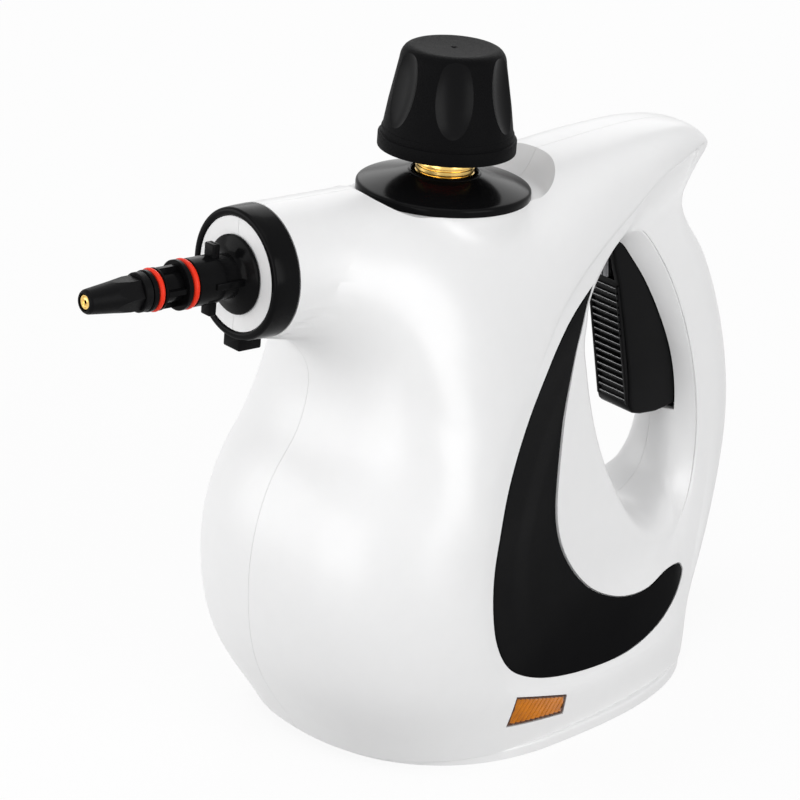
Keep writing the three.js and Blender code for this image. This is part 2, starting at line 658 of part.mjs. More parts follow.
// Base plate with the boiler's posts, let-in rubber feet and its screws.
const foot_shares = [[0.519, -0.253], [-0.519, -0.253], [0.519, 0.253], [-0.519, 0.253]];
const foot_places = foot_shares.map(base_point);
const foot_radius = 7;
const foot_depth = 2;
const plate = upright_prism(base_outline(wall + fit_gap), 0, plate_thickness);
const posts = post_angles.map((a) => turned(
  rod_profile(post_radius, plate_thickness / 2, boiler_bottom_z - fit_gap), bore_sides, "z",
  [post_circle_radius * Math.cos(a), boiler_y + post_circle_radius * Math.sin(a), 0],
));
const plate_holes = base_screw_places.flatMap((place) => [
  upright_rod(place, screw_hole_radius, -overrun, overrun, bore_sides),
  upright_rod(place, screw_head_radius + fit_gap, -overrun, plate_counterbore, bore_sides),
]);
const foot_pockets = foot_places.map((place) =>
  upright_rod(place, foot_radius + fit_gap, -overrun, foot_depth + fit_gap, small_sides));
add("base_plate", cut_by(joined([plate, ...posts]), [...plate_holes, ...foot_pockets]), "black_matte");
foot_places.forEach((place, i) => {
  add("base_foot_" + (i + 1), upright_rod(place, foot_radius, 0, foot_depth, small_sides), "grey_rubber");
});
base_screw_places.forEach((place, i) => add("base_screw_" + (i + 1), base_screw(place), "steel"));

// Nozzle: collar ring with its index block.
const collar_lip = 0.5;
const collar_chamfer = 0.9;
const index_half_width = 4.6;
const index_height = 4.4;
const index_sink = 1.5;
const collar_inner = nose_radius + fit_gap;
const collar = on_nozzle([
  [collar_inner, -collar_depth],
  [neck_radius, -collar_depth],
  [neck_radius, -collar_depth + collar_chamfer],
  [collar_front_radius + collar_lip, -collar_chamfer],
  [collar_front_radius, 0],
  [collar_inner, 0],
  [collar_inner, -collar_depth],
]);
const index_block = block(
  [-index_half_width, -nozzle_reach + collar_lip, -nozzle_drop - collar_front_radius - index_height],
  [index_half_width, -nozzle_reach + collar_depth, -nozzle_drop - collar_front_radius + index_sink],
  head.matrixWorld,
);
add("nozzle_collar", collar.add(index_block), "black_gloss");

// Spigot: [radius, distance in front of the collar] along its outside.
const spigot_bore = 2;
const spigot_rear = -14;
const spigot_flange_radius = 14.2;
const spigot_flange_front = 0.6;
const spigot_tube_radius = 8;
const spigot_hub_radius = 8.6;
const spigot_rear_radius = 9.5;
const cone_foot_radius = 12.6;
const cone_foot_at = 1.1;
const cone_top_at = 3;
const hub_start = 9.5;
const rear_ring_at = 22;
const rear_ring_radius = 7.7;
const rear_ring_half = 1.3;
const rear_disc_radius = 8.9;
const rear_disc_end = 25.4;
const stem_radius = 5.5;
const stem_end = 33.2;
const front_flange_radius = 7.5;
const front_ring_at = 35.6;
const front_ring_radius = 6.6;
const front_ring_half = 1.1;
const front_disc_radius = 7.3;
const spigot_front = 38.8;
const groove = (radius, half) => radius - half - fit_gap;
const spigot_profile = [
  [0, spigot_rear],
  [spigot_rear_radius, spigot_rear],
  [spigot_rear_radius, -nose_recess + fit_gap],
  [spigot_flange_radius, -nose_recess + fit_gap],
  [spigot_flange_radius, spigot_flange_front],
  [cone_foot_radius, cone_foot_at],
  [spigot_tube_radius, cone_top_at],
  [spigot_tube_radius, hub_start],
  [spigot_hub_radius, hub_start],
  [spigot_hub_radius, rear_ring_at - rear_ring_half - fit_gap],
  [groove(rear_ring_radius, rear_ring_half), rear_ring_at - rear_ring_half - fit_gap],
  [groove(rear_ring_radius, rear_ring_half), rear_ring_at + rear_ring_half + fit_gap],
  [rear_disc_radius, rear_ring_at + rear_ring_half + fit_gap],
  [rear_disc_radius, rear_disc_end],
  [stem_radius, rear_disc_end],
  [stem_radius, stem_end],
  [front_flange_radius, stem_end],
  [front_flange_radius, front_ring_at - front_ring_half - fit_gap],
  [groove(front_ring_radius, front_ring_half), front_ring_at - front_ring_half - fit_gap],
  [groove(front_ring_radius, front_ring_half), front_ring_at + front_ring_half + fit_gap],
  [front_disc_radius, front_ring_at + front_ring_half + fit_gap],
  [front_disc_radius, spigot_front],
  [0, spigot_front],
];
// A box in the nozzle's frame: across, upward from the axis, and forward from the collar.
const nozzle_block = ([low_x, low_up, low_s], [high_x, high_up, high_s]) => block(
  [low_x, -nozzle_reach - high_s, -nozzle_drop + low_up],
  [high_x, -nozzle_reach - low_s, -nozzle_drop + high_up],
  head.matrixWorld,
);
const lug_half_width = 2.5;
const lug_reach = 13;
const lug_from = 8.6;
const lug_to = 11.8;
const lug_bar = nozzle_block(
  [-lug_half_width, -lug_reach, lug_from],
  [lug_half_width, lug_reach, lug_to],
);
const side_rib_half = 1.2;
const side_rib_reach = 9.4;
const side_rib_end = 14;
const rib_bar = nozzle_block(
  [-side_rib_reach, -side_rib_half, cone_foot_at],
  [side_rib_reach, side_rib_half, side_rib_end],
);
const fin_half = 0.9;
const fin_from = rear_disc_end - fit_gap;
const stem_fins = [
  nozzle_block([-front_flange_radius, -fin_half, fin_from], [front_flange_radius, fin_half, stem_end]),
  nozzle_block([-fin_half, -front_flange_radius, fin_from], [fin_half, front_flange_radius, stem_end]),
];
const tunnel_profile = rod_profile(spigot_bore, spigot_rear - overrun, spigot_front + overrun);
const spigot_tunnel = on_nozzle(tunnel_profile, small_sides);
add(
  "nozzle_spigot",
  joined([on_nozzle(spigot_profile, ring_sides), lug_bar, rib_bar, ...stem_fins]).subtract(spigot_tunnel),
  "black_gloss",
);

// A ring with a round section, in [radius, height] pairs.
const ring_section_sides = 6;
function round_section(radius, half, height) {
  const points = [];
  for (let i = 0; i <= ring_section_sides; i++) {
    const a = (i / ring_section_sides) * Math.PI * 2;
    points.push([radius + half * Math.cos(a), height + half * Math.sin(a)]);
  }
  return points;
}
const nozzle_ring = (radius, half, height) =>
  on_nozzle(round_section(radius, half, height), ring_sides);
const rear_ring = nozzle_ring(rear_ring_radius, rear_ring_half, rear_ring_at);
const front_ring = nozzle_ring(front_ring_radius, front_ring_half, front_ring_at);
add("nozzle_ring_rear", rear_ring, "red_rubber");
add("nozzle_ring_front", front_ring, "red_rubber");

const tip_rear_radius = 7;
const tip_front_radius = 4.6;
const tip_apothem = 5.1;
const tip_length = 24.4;
const tip_start = spigot_front + fit_gap;
const tip_end = tip_start + tip_length;
const tip_chamfer = 1.2;
const tip_collar_length = 3.2;
const jet_radius = 2.7;
const jet_depth = 2.6;
const jet_recess = 0.4;
const jet_hole_radius = 0.7;
const tip_round = on_nozzle([
  [0, tip_start],
  [tip_rear_radius, tip_start],
  [tip_rear_radius, tip_start + tip_collar_length],
  [tip_front_radius, tip_end - tip_chamfer],
  [tip_front_radius - tip_chamfer, tip_end],
  [0, tip_end],
], ring_sides);
function hexagon_rod(apothem, low, high) {
  const radius = apothem / Math.cos(Math.PI / 6);
  const geometry = new THREE.CylinderGeometry(radius, radius, high - low, 6);
  geometry.rotateX(Math.PI / 2);
  geometry.translate(0, 0, (low + high) / 2);
  geometry.applyMatrix4(lay.front);
  geometry.translate(...nozzle_place);
  geometry.applyMatrix4(head.matrixWorld);
  return solid(geometry);
}
const tip_collar_end = tip_start + tip_collar_length;
const tip_collar = on_nozzle(rod_profile(tip_rear_radius, tip_start, tip_collar_end), ring_sides);
const tip_shape = tip_round.intersect(hexagon_rod(tip_apothem, tip_start, tip_end).add(tip_collar));
const tip_bore = on_nozzle(rod_profile(spigot_bore, tip_start - overrun, tip_end), small_sides);
const jet_front = tip_end - jet_recess;
const jet_rear = jet_front - jet_depth;
const jet_seat_profile = rod_profile(jet_radius + fit_gap, jet_rear - fit_gap, tip_end + overrun);
const jet_seat = on_nozzle(jet_seat_profile, small_sides);
add("jet_tip", cut_by(tip_shape, [tip_bore, jet_seat]), "black_gloss");
const jet = on_nozzle(ring_profile(jet_hole_radius, jet_radius, jet_rear, jet_front), small_sides);
add("brass_jet", jet, "brass");

// Filler disc, neck, gasket and the pressure cap, in the head's frame.
const disc_radius = 30.5;
const disc_sides = 32;
const disc_rim = 0.8;
const disc_rise = 5.4;
const disc_sheet = 2;
const disc_hole_radius = 12.1;
const disc_lip_width = 1.6;
const disc_curve_shares = [[0.75, 0.24], [0.45, 0.55], [0.2, 0.86]];
const disc_span = disc_radius - disc_hole_radius - disc_lip_width;
const disc_low = -dish_floor + 2 * fit_gap;
const disc_curve = disc_curve_shares.map(([r, z]) => [
  disc_hole_radius + disc_lip_width + r * disc_span,
  disc_rim + z * (disc_rise - disc_rim),
]);
add("filler_disc", on_filler([
  [disc_hole_radius, disc_rise - disc_sheet],
  [disc_radius - disc_rim, disc_low],
  [disc_radius, disc_low],
  [disc_radius, disc_low + disc_rim],
  ...disc_curve,
  [disc_hole_radius + disc_lip_width, disc_rise],
  [disc_hole_radius, disc_rise],
  [disc_hole_radius, disc_rise - disc_sheet],
], disc_sides), "black_gloss");

const filler_neck_outer = 10.7;
const filler_neck_inner = 8;
const filler_neck_low = -13.7;
const filler_neck_high = 11;
const boiler_neck_top = filler_neck_low - fit_gap;
const filler_neck_profile =
  ring_profile(filler_neck_inner, filler_neck_outer, filler_neck_low, filler_neck_high);
add("filler_neck", on_filler(filler_neck_profile, ring_sides), "brass");

const gasket_thickness = 1.6;
const gasket_outer = 10.5;
const plug_radius = 7.7;
const plug_low = -8;
const plug_head_radius = 12;
const plug_head_thickness = 2.8;
const plug_post_radius = 5;
const plug_post_top = 38;
const vent_radius = 1.5;
const gasket_low = filler_neck_high + fit_gap;
const gasket_high = gasket_low + gasket_thickness;
const plug_head_low = gasket_high + fit_gap;
const plug_head_high = plug_head_low + plug_head_thickness;
const gasket_profile = ring_profile(plug_radius + fit_gap, gasket_outer, gasket_low, gasket_high);
add("cap_gasket", on_filler(gasket_profile, ring_sides), "red_rubber");
add("cap_plug", on_filler([
  [vent_radius, plug_low],
  [plug_radius, plug_low],
  [plug_radius, plug_head_low],
  [plug_head_radius, plug_head_low],
  [plug_head_radius, plug_head_high],
  [plug_post_radius, plug_head_high],
  [plug_post_radius, plug_post_top],
  [vent_radius, plug_post_top],
  [vent_radius, plug_low],
], ring_sides), "brass");

const cap_bottom = 14;
const cap_top = 51.5;
const cap_flange_radius = 25;
const cap_flange_top = 19;
const cap_waist_radius = 23.7;
const cap_waist_at = 22;
const cap_shoulder_radius = 19.2;
const cap_shoulder_at = 46;
const cap_crown_radius = 16.5;
const cap_round_radius = 18.4;
const cap_round_drop = 2.2;
const cap_cavity_radius = 21;
const cap_cavity_waist_radius = 17.8;
const cap_cavity_top_radius = 13.5;
const cap_step_wall = 1;
const cap_roof = 3.5;
const cap_boss_bottom = 24;
const cap_boss_inner = plug_post_radius + fit_gap;
const cap_boss_outer = 8;
const cap_profile = [
  [0, cap_bottom],
  [cap_flange_radius, cap_bottom],
  [cap_flange_radius, cap_flange_top],
  [cap_waist_radius, cap_flange_top + fit_gap],
  [cap_waist_radius, cap_waist_at],
  [cap_shoulder_radius, cap_shoulder_at],
  [cap_round_radius, cap_top - cap_round_drop],
  [cap_crown_radius, cap_top],
  [0, cap_top],
];
const cap_cavity = on_filler([
  [0, cap_bottom - overrun],
  [cap_cavity_radius, cap_bottom - overrun],
  [cap_cavity_radius, cap_flange_top - cap_step_wall],
  [cap_cavity_waist_radius, cap_waist_at],
  [cap_cavity_top_radius, cap_top - cap_roof],
  [0, cap_top - cap_roof],
]);
const cap_boss_profile =
  ring_profile(cap_boss_inner, cap_boss_outer, cap_boss_bottom, cap_top - cap_roof / 2);
const cap_boss = on_filler(cap_boss_profile, small_sides);
const flute_count = 6;
const flute_segments = 12;
const flute_first = THREE.MathUtils.degToRad(53);
const flute_half_width = 6.7;
const flute_half_height = 15;
const flute_depth = 2.3;
const flute_section = 5;
const flute_middle = 35.5;
const flute_lean = Math.atan2(cap_waist_radius - cap_shoulder_radius, cap_shoulder_at - cap_waist_at);
const flute_share = (flute_middle - cap_waist_at) / (cap_shoulder_at - cap_waist_at);
const flute_surface = THREE.MathUtils.lerp(cap_waist_radius, cap_shoulder_radius, flute_share);
function flute_cutter(i) {
  const geometry = new THREE.SphereGeometry(1, flute_segments, flute_segments / 2);
  geometry.rotateX(Math.PI / 2);
  geometry.scale(flute_half_width, flute_section, flute_half_height);
  geometry.rotateX(flute_lean);
  geometry.translate(0, -(flute_surface - flute_depth + flute_section), flute_middle);
  geometry.rotateZ(flute_first + (i * Math.PI * 2) / flute_count);
  geometry.applyMatrix4(head.matrixWorld);
  return solid(geometry);
}
const flutes = Array.from({ length: flute_count }, (_, i) => flute_cutter(i));
add("cap_shell", cut_by(on_filler(cap_profile), [cap_cavity, ...flutes]).add(cap_boss), "black_matte");

const cap_spring_radius = 7;
const cap_spring_wire = 0.7;
const cap_spring_turns = 3;
const cap_spring_length = cap_boss_bottom - plug_head_high - 2 * fit_gap;
const cap_spring = spring_geometry(
  cap_spring_radius, cap_spring_wire, cap_spring_length, cap_spring_turns,
);
cap_spring.translate(0, 0, plug_head_high + fit_gap);
cap_spring.applyMatrix4(head.matrixWorld);
add("cap_spring", solid(cap_spring), "steel");

// Boiler: two pressed halves with a gasket, bolted at the flanges.
const boiler_gasket_thickness = 2.4;
const gasket_inset = 1.5;
const gasket_overhang = 2;
const boiler_gasket_inner = boiler_radius - gasket_inset;
const boiler_gasket_outer = boiler_radius + gasket_overhang;
const dome_top_share = 0.569;
const dome_top_z = upward(dome_top_share);
const dome_steps = 5;
const at_boiler = (profile, sides = round_sides) => turned(profile, sides, "z", [0, boiler_y, 0]);
const bolt_edge = 3.7;
const bolt_circle_radius = flange_radius - bolt_edge;
const bolt_radius = 1.7;
const bolt_head_radius = 3.2;
const bolt_head_height = 2.6;
const bolt_angles = [0, 90, 180, 270].map(THREE.MathUtils.degToRad);
const upper_low_z = boiler_split_z + boiler_gasket_thickness + 2 * fit_gap;
const upper_flange_top = upper_low_z + flange_thickness;
const at_bolt = (profile, angle) => turned(
  profile, small_sides, "z",
  [bolt_circle_radius * Math.cos(angle), boiler_y + bolt_circle_radius * Math.sin(angle), 0],
);
const bolt_hole_profile = rod_profile(bolt_radius + fit_gap, boiler_bottom_z, dome_top_z);
const bolt_holes = bolt_angles.map((a) => at_bolt(bolt_hole_profile, a));
const lower_cup = at_boiler([
  [0, boiler_bottom_z],
  [boiler_radius - boiler_wall, boiler_bottom_z],
  [boiler_radius, boiler_bottom_z + boiler_wall],
  [boiler_radius, boiler_split_z - flange_thickness],
  [flange_radius, boiler_split_z - flange_thickness],
  [flange_radius, boiler_split_z],
  [boiler_radius - boiler_wall, boiler_split_z],
  [boiler_radius - boiler_wall, boiler_bottom_z + boiler_wall],
  [0, boiler_bottom_z + boiler_wall],
]);
add("boiler_lower", cut_by(lower_cup, bolt_holes), "aluminium");
const boiler_gasket_low = boiler_split_z + fit_gap;
const boiler_gasket_profile =
  ring_profile(boiler_gasket_inner, boiler_gasket_outer, boiler_gasket_low, upper_low_z - fit_gap);
add("boiler_gasket", at_boiler(boiler_gasket_profile), "red_rubber");
function dome_arc(radius, top) {
  const rise = top - upper_flange_top;
  const points = [];
  for (let i = 0; i < dome_steps; i++) {
    const a = (i / dome_steps) * (Math.PI / 2);
    points.push([radius * Math.cos(a), upper_flange_top + rise * Math.sin(a)]);
  }
  return [...points, [0, top]];
}
const dome_outer = at_boiler([
  [0, upper_low_z],
  [flange_radius, upper_low_z],
  [flange_radius, upper_flange_top],
  ...dome_arc(boiler_radius, dome_top_z),
]);
const dome_inner = at_boiler([
  [0, upper_low_z - overrun],
  [boiler_radius - boiler_wall, upper_low_z - overrun],
  ...dome_arc(boiler_radius - boiler_wall, dome_top_z - boiler_wall),
]);
const boiler_neck_outer = 12;
const boiler_neck_bore = 8.5;
const boiler_neck_sink = 10.3;
const boiler_neck_foot = dome_top_z - filler_z - boiler_neck_sink;
const boiler_neck_profile = rod_profile(boiler_neck_outer, boiler_neck_foot, boiler_neck_top);
const boiler_neck = on_filler(boiler_neck_profile, ring_sides);
const boiler_neck_hole_profile =
  rod_profile(boiler_neck_bore, boiler_neck_foot - overrun, boiler_neck_top + overrun);
const boiler_neck_hole = on_filler(boiler_neck_hole_profile, ring_sides);
const port_shares = [0.0175, 0.549];
const [port_y, port_top_z] = side_point(port_shares);
const port_radius = 5;
const tube_radius = 2.2;
const tube_bore = 1.2;
const port_place = [0, port_y];
const port = upright_rod(port_place, port_radius, boiler_split_z + overrun, port_top_z, small_sides);
const port_hole = upright_rod(port_place, tube_bore, boiler_split_z, port_top_z + overrun, small_sides);
const dome_holes = [dome_inner, boiler_neck_hole, port_hole, ...bolt_holes];
add("boiler_upper", cut_by(joined([dome_outer, boiler_neck, port]), dome_holes), "aluminium");
const bolt_top = upper_flange_top + bolt_head_height;
const bolt_shank = rod_profile(bolt_radius, boiler_split_z - flange_thickness, bolt_top);
const bolt_head = rod_profile(bolt_head_radius, upper_flange_top + fit_gap, bolt_top);
bolt_angles.forEach((angle, i) => {
  add("boiler_bolt_" + (i + 1), at_bolt(bolt_shank, angle).add(at_bolt(bolt_head, angle)), "steel");
});

// Heating element under the boiler, with its thermostat and thermal fuse.
const element_inset = 15;
const element_radius = boiler_radius - element_inset;
const element_thickness = 3.2;
const element_half_gap = THREE.MathUtils.degToRad(22);
const element_steps = 28;
const element_z = boiler_bottom_z - fit_gap - element_thickness;
const element_sweep = Math.PI * 2 - 2 * element_half_gap;
const element_path = Array.from({ length: element_steps + 1 }, (_, i) => {
  const a = Math.PI / 2 + element_half_gap + (i / element_steps) * element_sweep;
  return [element_radius * Math.cos(a), boiler_y + element_radius * Math.sin(a), element_z];
});
const element = pipe(element_path, element_thickness, 0, ring_section_sides, element_steps);
add("heating_element", element, "steel");
const thermostat_radius = 8;
const thermostat_height = 8;
const thermostat_top = boiler_bottom_z - fit_gap;
const thermostat_profile =
  rod_profile(thermostat_radius, thermostat_top - thermostat_height, thermostat_top);
add("thermostat", at_boiler(thermostat_profile, small_sides), "ceramic_grey");
const fuse_radius = 2.2;
const fuse_half_length = 5.5;
const fuse_offset = 12.5;
add("thermal_fuse", turned(
  rod_profile(fuse_radius, -fuse_half_length, fuse_half_length), small_sides / 2, "x",
  [0, boiler_y - fuse_offset, boiler_bottom_z - fit_gap - fuse_radius],
), "ceramic_grey");

const terminal_share = 0.218;
const terminal_y = along(terminal_share);
const terminal_half_width = 14;
const terminal_depth = 14;
const terminal_height = 11;
const terminal_low = plate_thickness + fit_gap;
const terminal_hole_radius = 2;
const terminal_hole_step = 8;
const terminal_holes = [-1, 0, 1].map((n) => turned(
  rod_profile(terminal_hole_radius, terminal_low + terminal_height / 2, far), small_sides / 2, "z",
  [n * terminal_hole_step, terminal_y + terminal_depth / 2, 0],
));
const terminal_body = block(
  [-terminal_half_width, terminal_y, terminal_low],
  [terminal_half_width, terminal_y + terminal_depth, terminal_low + terminal_height],
);
add("terminal_block", cut_by(terminal_body, terminal_holes), "ceramic_grey");

// Lamp board standing on the base plate behind the lens.
const lamp_shares = [-0.1004, 0.0833];
const [lamp_y, lamp_z] = side_point(lamp_shares);
const lamp_radius = 2.5;
const lamp_front_share = 0.8636;
const lamp_front_x = across(lamp_front_share);
const board_share = 0.7879;
const board_x = across(board_share);
const board_thickness = 1.6;
const board_half_width = 7;
const board_top = 25;
const board = block(
  [board_x - board_thickness, lamp_y - board_half_width, plate_thickness + fit_gap],
  [board_x, lamp_y + board_half_width, board_top],
);
const lamp_rear_x = board_x - board_thickness / 2;
const lamp = side_rod([lamp_y, lamp_z], lamp_radius, lamp_rear_x, lamp_front_x, small_sides);
add("lamp_board", board.add(lamp), "black_matte");

// Steam valve ahead of the trigger arm, with its plunger and spring.
const valve_shares = [0.1135, 0.9216];
const [valve_front_y, valve_z] = side_point(valve_shares);
const valve_radius = 7;
const valve_length = 19;
const valve_wall = 3;
const valve_rear_y = valve_front_y + valve_length;
const valve_seat_y = valve_front_y + valve_wall;
const valve_bore = 5;
const plunger_radius = 2.2;
const plunger_seat_gap = 3;
const plunger_tip_y = valve_seat_y + plunger_seat_gap;
const plunger_collar_radius = 4.5;
const plunger_run = 8;
const plunger_collar_y = plunger_tip_y + plunger_run;
const plunger_collar_length = 2;
const plunger_end_y = arm_front_y - fit_gap;
const at_valve = (profile, sides = small_sides) => turned(profile, sides, "y", [0, 0, valve_z]);
add("valve_body", at_valve([
  [tube_bore, valve_front_y],
  [valve_radius, valve_front_y],
  [valve_radius, valve_rear_y],
  [valve_bore, valve_rear_y],
  [valve_bore, valve_seat_y],
  [tube_bore, valve_seat_y],
  [tube_bore, valve_front_y],
], ring_sides), "brass");
add("valve_plunger", at_valve([
  [0, plunger_tip_y],
  [plunger_radius, plunger_tip_y],
  [plunger_radius, plunger_collar_y],
  [plunger_collar_radius, plunger_collar_y],
  [plunger_collar_radius, plunger_collar_y + plunger_collar_length],
  [plunger_radius, plunger_collar_y + plunger_collar_length],
  [plunger_radius, plunger_end_y],
  [0, plunger_end_y],
]), "steel");
const valve_spring_radius = 3.6;
const valve_spring_wire = 0.5;
const valve_spring_turns = 6;
const valve_spring_length = plunger_collar_y - valve_seat_y - 2 * fit_gap;
const valve_spring = spring_geometry(
  valve_spring_radius, valve_spring_wire, valve_spring_length, valve_spring_turns,
);
valve_spring.applyMatrix4(lay.y);
valve_spring.translate(0, valve_seat_y + fit_gap, valve_z);
add("valve_spring", solid(valve_spring), "steel");

const inlet_shares = [
  [0.0175, 0.569], [0.0218, 0.608], [0.0393, 0.686],
  [0.0830, 0.765], [0.1354, 0.819], [0.1528, 0.868],
];
const valve_port_offset = 9;
const inlet_path = [
  [0, port_y, port_top_z + fit_gap],
  ...inlet_shares.map(([y, z]) => [0, along(y), upward(z)]),
  [0, valve_front_y + valve_port_offset, valve_z - valve_radius - fit_gap],
];
const inlet_tube = pipe(inlet_path, tube_radius, tube_bore, ring_section_sides, tube_steps);
add("steam_tube_inlet", inlet_tube, "copper_tube");
const outlet_shares = [
  [0.000, 0.098, 0.9216], [0.106, 0.070, 0.9167], [0.227, 0.017, 0.9118],
  [0.265, -0.066, 0.9118], [0.242, -0.175, 0.9167],
];
const outlet_end = new THREE.Vector3(0, spigot_rear - fit_gap, 0);
outlet_end.set(0, -nozzle_reach - outlet_end.y, -nozzle_drop).applyMatrix4(head.matrixWorld);
const outlet_lead = 22;
const outlet_lead_share = 0.121;
const outlet_straight = 3;
const outlet_path = [
  [0, valve_front_y - fit_gap, valve_z],
  ...outlet_shares.map(([x, y, z]) => [across(x), along(y), upward(z)]),
  [across(outlet_lead_share), outlet_end.y + outlet_lead, outlet_end.z],
  [0, outlet_end.y + outlet_straight, outlet_end.z],
  outlet_end.toArray(),
];
const outlet_tube = pipe(outlet_path, tube_radius, tube_bore, ring_section_sides, tube_steps);
add("steam_tube_outlet", outlet_tube, "copper_tube");

// Trigger with its ribbed face, pin, return spring and lock slide.
const rib_count = 17;
const rib_span_shares = [0.4608, 0.6922];
const [rib_first_z, rib_last_z] = rib_span_shares.map(upward);
const rib_pitch = (rib_last_z - rib_first_z) / (rib_count - 1);
const rib_half_width = 7.7;
const rib_proud = 0.7;
const rib_thickness = 1.1;
const rib_depth = 2;
const face_low_shares = [0.308, 0.451];
const face_high_shares = [0.279, 0.701];
const [face_low_y, face_low_z] = side_point(face_low_shares);
const [face_high_y, face_high_z] = side_point(face_high_shares);
const face_y = (z) => THREE.MathUtils.mapLinear(z, face_low_z, face_high_z, face_low_y, face_high_y);
const ribs = Array.from({ length: rib_count }, (_, i) => {
  const z = rib_first_z + i * rib_pitch;
  const low = [-rib_half_width, face_y(z) - rib_proud, z - rib_thickness / 2];
  const high = [rib_half_width, face_y(z) + rib_depth, z + rib_thickness / 2];
  return block(low, high);
});
const arm = block([-arm_half_width, arm_front_y, arm_low_z], [arm_half_width, arm_rear_y, arm_top_z]);
const trigger_body = side_prism(trigger_outline, -trigger_half_width, trigger_half_width);
const trigger_pin_hole = side_rod(pivot_place, hole_radius, -far, far, small_sides);
const lock_span_shares = [0.7255, 0.7549];
const [lock_low_z, lock_high_z] = lock_span_shares.map(upward);
const lock_depth = 8;
const lock_half_width = 5;
const lock_travel = 3;
const lock_front_gap = 1;
const lock_y = face_y(lock_low_z);
const lock_slot = block(
  [-lock_half_width - lock_travel / 2 - fit_gap, -far, lock_low_z - fit_gap],
  [lock_half_width + lock_travel / 2 + fit_gap, lock_y + lock_depth + fit_gap, lock_high_z + fit_gap],
);
const spring_shares = [0.393, 0.490];
const [spring_pocket_y, spring_z] = side_point(spring_shares);
const trigger_spring_radius = 3.4;
const trigger_spring_wire = 0.6;
const trigger_spring_turns = 7;
const spring_pocket_radius = 5;
const spring_end_share = 0.5087;
const spring_end_y = along(spring_end_share);
const spring_pocket_profile = rod_profile(spring_pocket_radius, spring_pocket_y, far);
const spring_pocket = turned(spring_pocket_profile, small_sides, "y", [0, 0, spring_z]);
add(
  "trigger",
  cut_by(joined([trigger_body, arm, ...ribs]), [trigger_pin_hole, lock_slot, spring_pocket]),
  "black_matte",
);
const pin = side_rod(pivot_place, pin_radius, -pin_half_length, pin_half_length, small_sides);
add("trigger_pin", pin, "steel");
add("trigger_lock", block(
  [-lock_half_width - lock_travel / 2, lock_y - lock_front_gap, lock_low_z],
  [lock_half_width - lock_travel / 2, lock_y + lock_depth, lock_high_z],
), "aluminium");
const trigger_spring_length = spring_end_y - spring_pocket_y - 2 * fit_gap;
const trigger_spring = spring_geometry(
  trigger_spring_radius, trigger_spring_wire, trigger_spring_length, trigger_spring_turns,
);
trigger_spring.applyMatrix4(lay.y);
trigger_spring.translate(0, spring_pocket_y + fit_gap, spring_z);
add("trigger_spring", solid(trigger_spring), "steel");

export default part;
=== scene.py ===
import math

import bmesh
import bpy
import numpy as np
from mathutils import Matrix, Vector
from mathutils.bvhtree import BVHTree


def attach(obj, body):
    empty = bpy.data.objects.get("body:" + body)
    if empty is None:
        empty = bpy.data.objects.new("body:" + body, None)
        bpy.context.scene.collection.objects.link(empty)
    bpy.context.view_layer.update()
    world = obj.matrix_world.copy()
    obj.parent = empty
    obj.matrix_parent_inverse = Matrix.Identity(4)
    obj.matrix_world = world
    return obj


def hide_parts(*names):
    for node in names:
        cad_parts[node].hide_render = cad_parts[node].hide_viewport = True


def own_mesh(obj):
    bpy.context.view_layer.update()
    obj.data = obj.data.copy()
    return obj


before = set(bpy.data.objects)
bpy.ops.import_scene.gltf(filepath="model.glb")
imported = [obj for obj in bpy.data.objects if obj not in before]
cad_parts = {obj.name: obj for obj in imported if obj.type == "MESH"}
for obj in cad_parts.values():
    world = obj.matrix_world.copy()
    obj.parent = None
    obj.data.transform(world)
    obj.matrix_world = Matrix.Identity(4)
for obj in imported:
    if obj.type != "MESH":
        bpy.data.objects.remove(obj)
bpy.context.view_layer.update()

# The view of the photograph: a long lens from the nozzle's side, a little above the object, that
# looks at its middle.
camera_data = bpy.data.cameras.new("camera")
camera_data.lens = 180
camera_data.sensor_width = 36
camera_data.clip_start = 0.05
camera_data.clip_end = 20
camera = bpy.data.objects.new("camera", camera_data)
camera.location = (1.02933, -0.88151, 0.70295)
camera_aim = Vector((0, -0.035, 0.12111))
camera.rotation_euler = (camera_aim - camera.location).to_track_quat("-Z", "Y").to_euler()
bpy.context.scene.collection.objects.link(camera)
bpy.context.scene.camera = camera
bpy.context.scene.view_settings.view_transform = "Standard"


# Studio: a white sweep that the camera, the gloss and the glass see, and five soft square lamps
# round the object at a plain level.
class Field:
    """A value that varies over a surface. Arithmetic on it adds Math nodes to its material."""

    def __init__(self, tree, socket):
        self.tree, self.socket = tree, socket

    def make(self, kind, settings=None, inputs=None, output=0):
        """Adds a node: its settings first, then the values or links of its sockets."""
        node = self.tree.nodes.new(kind)
        for name, value in (settings or {}).items():
            setattr(node, name, value)
        for name, value in (inputs or {}).items():
            if isinstance(value, Field):
                self.tree.links.new(value.socket, node.inputs[name])
            else:
                node.inputs[name].default_value = value
        return Field(self.tree, node.outputs[output])

    def maths(self, operation, *values):
        return self.make("ShaderNodeMath", {"operation": operation}, dict(enumerate(values)))

    def __add__(self, other):
        return self.maths("ADD", self, other)

    def __mul__(self, other):
        return self.maths("MULTIPLY", self, other)

    __radd__ = __add__
    __rmul__ = __mul__

    def noise(self, size, detail=2.0):
        """Noise with grains of about that size, in metres, from 0 to 1."""
        return self.make("ShaderNodeTexNoise", {}, {"Vector": self, "Scale": 1 / size, "Detail": detail})

    def mixed(self, dark, light):
        """A colour from dark at 0 to light at 1."""
        return self.make(
            "ShaderNodeMix",
            {"data_type": "RGBA"},
            {0: self, 6: (*dark, 1), 7: (*light, 1)},
            output=2,
        )


